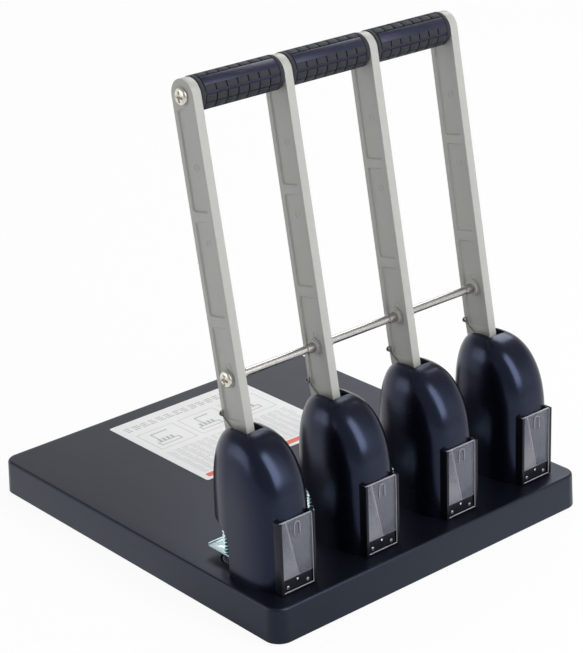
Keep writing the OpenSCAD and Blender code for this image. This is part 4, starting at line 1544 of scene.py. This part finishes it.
@dataclass
class LeverArms:
    """The four arms of the lever and their return springs, drawn around a head's middle."""

    thickness: float = 7.0
    lean: float = 9.7
    top_width: float = 24.0
    low_width: float = 25.5
    hood_top: float = 109.0
    sink: float = 6.0
    web_up: float = 10.0
    notch: tuple[Flat, Flat] = ((-13.2, -18.0), (-7.2, -6.0))
    handle: Flat = (33.2, 337.0)
    pivot: Flat = (-34.5, 74.0)
    pivot_r: float = 4.05
    pivot_lobe: float = 11.0
    crank_radius: float = 36.0
    crank_angle: float = 30.0
    crank_r: float = 3.05
    crank_lobe: float = 6.0
    tie_up: float = 141.0
    tie_r: float = 3.05
    boss_r: float = 5.5
    boss_h: float = 1.5
    seat_r: float = 6.5
    handle_r: float = 5.05
    panel_depth: float = 1.3
    panel_rim: float = 4.0
    panel_draft: float = 0.45
    panel_corner: float = 2.4
    panels: tuple[Flat, ...] = ((111.0, 177.2), (185.2, 251.2), (258.3, 328.0))
    marks: tuple[float, ...] = (150.0, 237.0, 288.8)
    mark_r: float = 2.6
    mark_width: float = 0.55
    mark_back: float = 2.0
    wire: float = 1.1
    coil_r: float = 7.0
    coil_turns: float = 2.25
    coil_lead: float = 6.0
    turn_steps: int = 24
    cheek_x: float = 10.5
    side_gap: float = 0.4
    hook_up: float = 113.5
    hook_bend: float = 2.0
    eye_r: float = 1.5
    eye_pitch: float = 1.4

    def mid(self, z: float) -> float:
        """Returns the arm's middle at a height."""
        return self.handle[0] - (self.handle[1] - z) * math.tan(math.radians(self.lean))

    def half(self, z: float) -> float:
        """Returns half the arm's width at a height."""
        taper = (self.low_width - self.top_width) / (self.handle[1] - self.hood_top)
        return (self.top_width + (self.handle[1] - z) * taper) / 2

    @property
    def crank(self) -> Flat:
        """The crank pin's place."""
        a, r = math.radians(self.crank_angle), self.crank_radius
        return (self.pivot[0] + r * math.cos(a), self.pivot[1] + r * math.sin(a))

    @property
    def tie(self) -> Flat:
        """The tie rod's place."""
        return (self.mid(self.tie_up), self.tie_up)

    def build(self) -> None:
        """Adds the arms and the springs."""
        for i in HEADS:
            sides = [s for s in SIDES if (i, s) not in ROW_ENDS]
            mesh = smoothed(self._arm(sides).mesh("arm"), 30)
            mesh.transform(Matrix.Translation(head_at(i)))
            add_piece(f"cast_arm_{i}", mesh, [ARM_PAINT], "lever", [f"lever_arm_{i}"])
        spring = wire_mesh(self._spring_path(), self.wire, SPRING_STEEL.material(), 10)
        add_at_heads("return_wire", spring, [SPRING_STEEL], "lever", "return_spring_{}")

    def _outline(self) -> list[Flat]:
        """Draws the arm's outline in Y and Z, from its crank up, over its top and down to its pivot.

        Returns:
            The outline's points.
        """
        foot = self.hood_top - self.sink
        web = foot + self.web_up
        top = arc(self.handle, self.half(self.handle[1]), -self.lean, 180 - self.lean, 20)
        lobe = arc(self.crank, self.crank_lobe, 270, 360, 8)
        notch = [(self.crank[0] + y, self.crank[1] + z) for y, z in self.notch]
        return [*notch, *lobe, (self.mid(web) + self.half(web), web), *top,
                (self.mid(foot) - self.half(foot), foot), *arc(self.pivot, self.pivot_lobe, 165, 285, 14)]

    def _panel(self, span: Flat, rim: float) -> list[Flat]:
        """Returns the outline of one recessed panel.

        Args:
            span: The heights at which its ends, square to the arm, cross the arm's middle.
            rim: The width of the rim beside it.

        Returns:
            The rounded outline.
        """
        grow = self.panel_rim - rim
        corners = []
        for z, sides in ((span[0] - grow, (-1, 1)), (span[1] + grow, (1, -1))):
            for s in sides:
                up = z - s * (self.half(z) - rim) * math.tan(math.radians(self.lean))
                corners.append((self.mid(up) + s * (self.half(up) - rim), up))
        return rounded(corners, self.panel_corner, 5)

    def _panels(self) -> Solid:
        """Builds the recesses of both faces, with sloping walls and a level seat for the tie rod.

        Returns:
            The recesses, to be cut out of an arm.
        """
        half = self.thickness / 2
        solid = Solid()
        for s in SIDES:
            for span in self.panels:
                rings = []
                for x, share in ((half - self.panel_depth, 1.0), (half + 1, -1 - 2 / self.panel_depth)):
                    outline = self._panel(span, self.panel_rim + self.panel_draft * share)
                    rings.append([(s * x, y, z) for y, z in outline])
                solid.loft(rings)
        reach = half + 2
        return solid.minus(Solid().rod(self.seat_r, (-reach, reach), Axis.X, self.tie, 44))

    def _marks(self) -> Solid:
        """Builds the shallow rings that the mould's pins leave in the panels.

        Returns:
            The rings, to be cut out of an arm.
        """
        floor, r = self.thickness / 2 - self.panel_depth, self.mark_r
        solid = Solid()
        for s in SIDES:
            low, high = s * (floor - 0.2), s * (floor + 0.4)
            ring = [(r - self.mark_width, low), (r, low), (r, high), (r - self.mark_width, high)]
            for z in self.marks:
                solid.lathe(ring, Axis.X, (self.mid(z) - self.mark_back, z), 28, looped=True)
        return solid

    def _arm(self, boss_sides: Sequence[int]) -> Solid:
        """Builds one arm with its panels, bores and bosses.

        Args:
            boss_sides: The sides on which the tie rod has a boss.

        Returns:
            The arm.
        """
        half = self.thickness / 2
        arm = Solid().prism(self._outline(), -half, half, Axis.X)
        bores = Solid()
        for place, radius in ((self.pivot, self.pivot_r), (self.crank, self.crank_r),
                              (self.handle, self.handle_r)):
            bores.rod(radius, (-half - 1, half + 1), Axis.X, place, 40)
        for s in boss_sides:
            ends = tuple(sorted((0.0, s * (half + self.boss_h))))
            arm.plus(Solid().rod(self.boss_r, ends, Axis.X, self.tie, 44))
        reach = half + self.boss_h + 1
        bores.rod(self.tie_r, (-reach, reach), Axis.X, self.tie, 36)
        return arm.minus(self._panels(), bores).bevelled(0.5, 3, 35).minus(self._marks())

    def _spring_path(self) -> list[Point]:
        """Draws the middle of a return spring's wire: its lead, coil, leg, eye and hook.

        Returns:
            The wire's points.
        """
        hook = Vector((self.mid(self.hook_up) + self.half(self.hook_up) + self.wire / 2 + self.side_gap,
                       self.hook_up))
        span = hook - Vector(self.pivot)
        leg = math.atan2(span.y, span.x) - math.asin(self.coil_r / span.length)
        start = -self.cheek_x + self.wire / 2 + self.side_gap
        arm_x = -self.thickness / 2 - self.wire / 2 - self.side_gap
        count = int(self.coil_turns * self.turn_steps)
        coil = []
        for k in range(count + 1):
            u = k / count
            a = leg + math.pi / 2 + 2 * math.pi * self.coil_turns * (1 - u)
            coil.append((start + (arm_x - start) * u, self.pivot[0] + self.coil_r * math.cos(a),
                         self.pivot[1] + self.coil_r * math.sin(a)))
        lead = (Vector(coil[0]) - Vector(coil[1])).normalized() * self.coil_lead
        along, across = Vector((math.cos(leg), math.sin(leg))), Vector((-math.sin(leg), math.cos(leg)))
        corner = hook - along * self.hook_bend
        eye = []
        for k in range(self.turn_steps + 1):
            u = k / self.turn_steps
            t = 2 * math.pi * u
            at = corner + self.eye_r * (math.sin(t) * along + (1 - math.cos(t)) * across)
            eye.append((arm_x - self.eye_pitch * u, at.x, at.y))
        bend = []
        bend_steps = 8
        for k in range(1, bend_steps + 1):
            b = math.pi / 2 * k / bend_steps
            at = hook - along * self.hook_bend * (1 - math.sin(b))
            x = arm_x - self.eye_pitch + (self.hook_bend + self.eye_pitch) * (1 - math.cos(b))
            bend.append((x, at.x, at.y))
        first = (coil[0][0], coil[0][1] + lead.y, coil[0][2] + lead.z)
        return [first, *coil, *eye, *bend, (self.thickness / 4, hook.x, hook.y)]


@dataclass
class Handle:
    """The handle bar with its three padded grips, the tie rod and their screws."""

    arms: LeverArms
    arm_gap: float = 3.8
    grip_len: float = 72.4
    grip_r: float = 12.5
    core_r: float = 11.6
    bar_r: float = 5.05
    collar: float = 3.5
    columns: int = 7
    rows: int = 10
    groove: float = 0.9
    band: Flat = (31.0, 72.0)
    teeth_under: float = 5.0
    teeth_end: float = 92.0
    blocks_start: float = 98.0
    turns: tuple[float, float, float] = (-13.0, -6.5, 0.0)
    rod_r: float = 3.0
    sleeve_r: float = 3.8
    sleeve_len: float = 7.0
    reach: float = 123.5
    screw: PanScrew = PanScrew(12.4, 3.2)

    def build(self) -> None:
        """Adds grips, rod and screws."""
        for i, turn in zip(HEADS, self.turns):
            start = head_at(i) + Vector((self.arm_gap, *self.arms.handle))
            place = Matrix.Translation(start) @ Matrix.Rotation(math.radians(turn), 4, "X")
            for name, mesh, nodes in (("grip_sleeve", self._core().mesh("core"), [f"grip_{i}"]),
                                      ("grip_tread", self._tread(), [])):
                mesh.transform(place)
                add_piece(f"{name}_{i}", smoothed(mesh, 50), [GRIP_RUBBER, FOOT_RUBBER], "lever", nodes)
        add_piece("tie_bar", smoothed(self._rod().mesh("rod")), [ROD_NICKEL], "lever", ["tie_rod"])
        for name, place, node in (("handle_screw_heads", self.arms.handle, "handle_screws"),
                                  ("tie_screw_heads", self.arms.tie, "tie_rod_screws")):
            self._screws(name, place, node)
        dress(TOOL_STEEL, "handle_bar")

    def _core(self) -> Solid:
        """Turns a grip's sleeve, with a collar at each end, along X from the origin.

        Returns:
            The sleeve.
        """
        r, c, length = self.grip_r, self.collar, self.grip_len
        profile = [(self.bar_r, 0.0), (r - 0.6, 0.0), (r - 0.1, 0.4), (r, 0.9), (r, c - 0.4), (r - 0.3, c),
                   (self.core_r, c + 0.3), (self.core_r, length - c - 0.3), (r - 0.3, length - c),
                   (r, length - c + 0.4), (r, length - 0.9), (r - 0.1, length - 0.4), (r - 0.6, length),
                   (self.bar_r, length)]
        core = Solid().lathe(profile, Axis.X, sides=72, looped=True)
        return core.painted(1, lambda f: not c < f.calc_center_median().x < length - c)

    def _tread(self) -> bpy.types.Mesh:
        """Builds a grip's raised tread: blocks round its back, and a plain band with teeth along its front.

        Returns:
            The tread's mesh.
        """
        band = self._pad(self.grip_len - 2 * self.collar, self.band).mesh("band")
        band.transform(Matrix.Translation((self.collar, 0, 0)))
        teeth = self._pads((self.band[1] - self.teeth_under, self.teeth_end), 1)
        blocks = self._pads((self.blocks_start, self.band[0] + 360), self.rows)
        return merged("tread", [band, teeth, blocks])

    def _pads(self, span: Flat, rows: int) -> bpy.types.Mesh:
        """Returns raised pads in columns along a grip and rows around it.

        Args:
            span: The angles that they fill, in degrees from the top towards the front.
            rows: The number of rows in that span.

        Returns:
            The pads' mesh.
        """
        pitch = (self.grip_len - 2 * self.collar) / self.columns
        step = (span[1] - span[0]) / rows
        tree = GeometryTree("grip pads")
        columns = tree.size("Columns", self.columns)
        points, index = tree.line(columns * tree.size("Rows", rows))
        column = index.math("MODULO", columns)
        row = (index / columns).math("FLOOR")
        placed = tree.node("GeometryNodeSetPosition", None, {
            "Geometry": points, "Position": tree.combine(
                tree.size("Start", self.collar) + column * tree.size("Pitch", pitch), 0.0, 0.0)})
        spread = tree.node("GeometryNodeInstanceOnPoints", None, {
            "Points": placed.outputs[0], "Instance": tree.start.outputs["Geometry"],
            "Rotation": tree.combine(row * tree.size("Row turn", math.radians(step)), 0.0, 0.0)})
        pad = self._pad(pitch, (span[0], span[0] + step))
        return tree.run(spread.outputs[0], pad.mesh("pad"), GRIP_RUBBER.material())

    def _pad(self, length: float, span: Flat) -> Solid:
        """Returns one curved pad with rounded top edges.

        Args:
            length: The room that it has along the grip, from the origin.
            span: The angles that it has room for, in degrees from the top towards the front.

        Returns:
            The pad, smaller than its room by half a groove on each side.
        """
        across = 8
        rings = []
        for inset, r in ((0.0, self.core_r - 0.2), (0.0, self.grip_r - 0.3), (0.12, self.grip_r - 0.08),
                         (0.32, self.grip_r)):
            gap = self.groove / 2 + inset
            low, high = math.radians(span[0]) + gap / self.grip_r, math.radians(span[1]) - gap / self.grip_r
            angles = [low + (high - low) * k / across for k in range(across + 1)]
            ring = [(gap, -r * math.sin(a), r * math.cos(a)) for a in angles]
            ring += [(length - gap, -r * math.sin(a), r * math.cos(a)) for a in reversed(angles)]
            rings.append(ring)
        pad = Solid().loft(rings)
        bmesh.ops.triangulate(pad.bm, faces=[f for f in pad.bm.faces if len(f.verts) > 4])
        return pad

    def _rod(self) -> Solid:
        """Turns the tie rod with a short sleeve on each side of an arm that has no screw.

        Returns:
            The rod.
        """
        at = self.arms.tie
        place = (PUNCH_Y + at[0], BASE_TOP + at[1])
        profile = [(self.rod_r - 0.3, -self.reach), (self.rod_r, -self.reach + 0.3)]
        face = self.arms.thickness / 2 + self.arms.boss_h
        for i in HEADS:
            x = head_at(i).x
            for s in SIDES:
                if (i, s) in ROW_ENDS:
                    continue
                ends = sorted((x + s * face, x + s * (face + self.sleeve_len)))
                profile += [(self.rod_r, ends[0]), (self.sleeve_r - 0.3, ends[0]),
                            (self.sleeve_r, ends[0] + 0.3), (self.sleeve_r, ends[1] - 0.3),
                            (self.sleeve_r - 0.3, ends[1]), (self.rod_r, ends[1])]
        profile += [(self.rod_r, self.reach - 0.3), (self.rod_r - 0.3, self.reach)]
        return Solid().lathe(profile, Axis.X, place, 40)

    def _screws(self, name: str, place: Flat, node: str) -> None:
        """Adds the two screws at the ends of a bar.

        Args:
            name: The piece's name.
            place: The bar's place in Y and Z around a head's middle.
            node: The CAD node that they replace.
        """
        meshes = []
        for s in SIDES:
            at = (s * self.reach, PUNCH_Y + place[0], BASE_TOP + place[1])
            meshes.append(repeated_mesh(self.screw.solid(), [at], (s, 0, 0), NICKEL.material()))
        add_piece(name, smoothed(merged(name, meshes)), [NICKEL], "lever", [node])


@dataclass
class HeadWorks:
    """The works inside the heads, which keep their CAD shapes."""

    finishes: dict[str, Finish] = field(default_factory=lambda: {
        "head_frame": ZINC, "punch_holder": TOOL_STEEL, "punch_pin": TOOL_STEEL})

    def build(self) -> None:
        """Dresses the works."""
        for name, finish in self.finishes.items():
            dress(finish, *numbered(name))
        dress(TOOL_STEEL, "pivot_pins", "pivot_clips", "crank_pins")
        dress(ZINC, "frame_bolts")
        dress(NICKEL, "hood_screws")
        dress(BRONZE, "guide_bushes")


# Studio


@dataclass(frozen=True)
class PhotoCamera:
    """The camera at the photograph's place."""

    focal_px: float = 2084.6
    frame_px: tuple[int, int] = (583, 653)
    azimuth: float = -40.25
    elevation: float = 22.38
    roll: float = -2.02
    target: Point = (151.19, 153.54, 62.0)
    distance: float = 1818.6
    offset_px: Flat = (9.54, -5.67)
    sensor_mm: float = 36.0

    def build(self) -> None:
        """Adds the camera and makes it the scene's."""
        a, r = math.radians(self.azimuth), math.radians(self.roll)
        back = towards(self.azimuth, self.elevation)
        level = Vector((math.cos(a), math.sin(a), 0))
        upright = back.cross(level)
        right = math.cos(r) * level + math.sin(r) * upright
        up = math.cos(r) * upright - math.sin(r) * level
        data = bpy.data.cameras.new("camera")
        data.sensor_width = self.sensor_mm
        data.lens = self.focal_px * self.sensor_mm / max(self.frame_px)
        data.shift_x = -self.offset_px[0] / max(self.frame_px)
        data.shift_y = self.offset_px[1] / max(self.frame_px)
        data.clip_end = 100.0
        camera = bpy.data.objects.new("camera", data)
        place = (Vector(self.target) + back * self.distance) * MM
        camera.matrix_world = Matrix.Translation(place) @ Matrix((right, up, back)).transposed().to_4x4()
        bpy.context.scene.collection.objects.link(camera)
        bpy.context.scene.camera = camera


@dataclass(frozen=True)
class Softbox:
    """One soft lamp that faces the punch."""

    name: str
    azimuth: float
    elevation: float
    distance: float
    size: Flat
    power: float
    aim_height: float = 0.12

    def build(self) -> None:
        """Adds the lamp."""
        back = towards(self.azimuth, self.elevation)
        data = bpy.data.lights.new(self.name, "AREA")
        data.shape = "RECTANGLE"
        data.size, data.size_y = self.size
        data.energy = self.power
        lamp = bpy.data.objects.new(self.name, data)
        lamp.location = Vector((0, 0, self.aim_height)) + back * self.distance
        lamp.rotation_euler = back.to_track_quat("Z", "Y").to_euler()
        bpy.context.scene.collection.objects.link(lamp)


@dataclass
class Studio:
    """A pale floor, a white surround and soft lamps."""

    floor_half: float = 6.0
    floor_colour: Colour = (0.86, 0.86, 0.87)
    floor_glow: float = 0.93
    floor_dim: Flat = (0.1, 0.26)
    fill: float = 0.42
    horizon: Flat = (0.15, 0.6)
    dim_side: float = -40.0
    sky_dim: Flat = (0.1, 0.75)
    lamps: tuple[Softbox, ...] = (
        Softbox("front strip", 14.0, 36.0, 2.2, (1.1, 2.1), 38.0),
        Softbox("left", -116.0, 14.0, 2.2, (1.2, 1.1), 7.5),
        Softbox("back right", 122.0, 42.0, 2.2, (1.2, 0.9), 13.0),
    )

    def build(self) -> None:
        """Adds camera, floor, surround and lamps."""
        bpy.context.scene.view_settings.view_transform = "Standard"
        PhotoCamera().build()
        for lamp in self.lamps:
            lamp.build()
        self._floor()
        self._surround()

    def _camera_side(self, vector: Value, low: float, high: float) -> Value:
        """Finds how far a vector leads to the side that the photograph was taken from.

        Args:
            vector: The vector.
            low: The length towards that side at which the rise starts.
            high: The length at which it ends.

        Returns:
            A rise from 0 to 1.
        """
        a = math.radians(self.dim_side)
        parts = vector.tree.node("ShaderNodeSeparateXYZ", None, {"Vector": vector}).outputs
        x, y = Value(vector.tree, parts["X"]), Value(vector.tree, parts["Y"])
        return (math.sin(a) * x - math.cos(a) * y).rise(low, high)

    def _seen(self, tree: Tree) -> Value:
        """Tells the rays that show the background: straight, mirrored or through glass.

        Args:
            tree: The tree that asks.

        Returns:
            1 for those rays, 0 for others.
        """
        path = tree.node("ShaderNodeLightPath")
        rays = [Value(tree, path.outputs[f"Is {kind} Ray"]) for kind in ("Camera", "Glossy", "Transmission")]
        return (rays[0] + rays[1] + rays[2]).math("MINIMUM", 1.0)

    def _floor(self) -> None:
        """Adds the floor, which stays white in view and keeps a soft shadow."""
        h = self.floor_half
        mesh = bpy.data.meshes.new("floor")
        mesh.from_pydata([(-h, -h, 0), (h, -h, 0), (h, h, 0), (-h, h, 0)], [], [(0, 1, 2, 3)])
        material = bpy.data.materials.new("pale floor")
        material.use_nodes = True
        tree = Tree(material.node_tree)
        tree.tree.nodes.clear()
        matt = tree.node("ShaderNodeBsdfDiffuse", None, {"Color": (*self.floor_colour, 1.0)})
        glow = tree.node("ShaderNodeEmission", None, {"Color": (1.0, 1.0, 1.0, 1.0), "Strength": 1.0})
        place = tree.output("Object", "ShaderNodeTexCoord")
        straight = tree.output("Is Camera Ray", "ShaderNodeLightPath")
        shown = straight + (1 - straight) * (1 - self._camera_side(place, *self.floor_dim))
        mixed = tree.node("ShaderNodeMixShader", None, {
            0: self._seen(tree) * shown * self.floor_glow, 1: matt.outputs[0], 2: glow.outputs[0]})
        tree.node("ShaderNodeOutputMaterial", None, {"Surface": mixed.outputs[0]})
        mesh.materials.append(material)
        linked_object("floor", mesh)

    def _surround(self) -> None:
        """Sets the world to a plain fill light that is white in view, and mirrored white near the horizon."""
        world = bpy.data.worlds.new("surround")
        world.use_nodes = True
        bpy.context.scene.world = world
        tree = Tree(world.node_tree)
        tree.tree.nodes.clear()
        fill = tree.node("ShaderNodeBackground", None, {"Color": (1.0, 1.0, 1.0, 1.0), "Strength": self.fill})
        white = tree.node("ShaderNodeBackground", None, {"Color": (1.0, 1.0, 1.0, 1.0), "Strength": 1.0})
        direction = tree.output("Generated", "ShaderNodeTexCoord")
        height = tree.output("Z", "ShaderNodeSeparateXYZ", None, {"Vector": direction})
        straight = tree.output("Is Camera Ray", "ShaderNodeLightPath")
        mirrored = (1 - height.rise(*self.horizon)) * (1 - self._camera_side(direction, *self.sky_dim))
        share = self._seen(tree) * (straight + (1 - straight) * mirrored)
        mixed = tree.node("ShaderNodeMixShader", None, {0: share, 1: fill.outputs[0], 2: white.outputs[0]})
        tree.node("ShaderNodeOutputWorld", None, {"Surface": mixed.outputs[0]})


def main() -> None:
    """Builds the punch's sub-assemblies and the studio around them."""
    logging.basicConfig(level=logging.INFO, format="%(name)s: %(message)s")
    hood = Hood()
    arms = LeverArms()
    parts = (Studio(), Base(), Label(), hood, ChipWindow(hood), Presser(), arms, Handle(arms), HeadWorks())
    for part in parts:
        part.build()


if __name__ == "__main__":
    main()
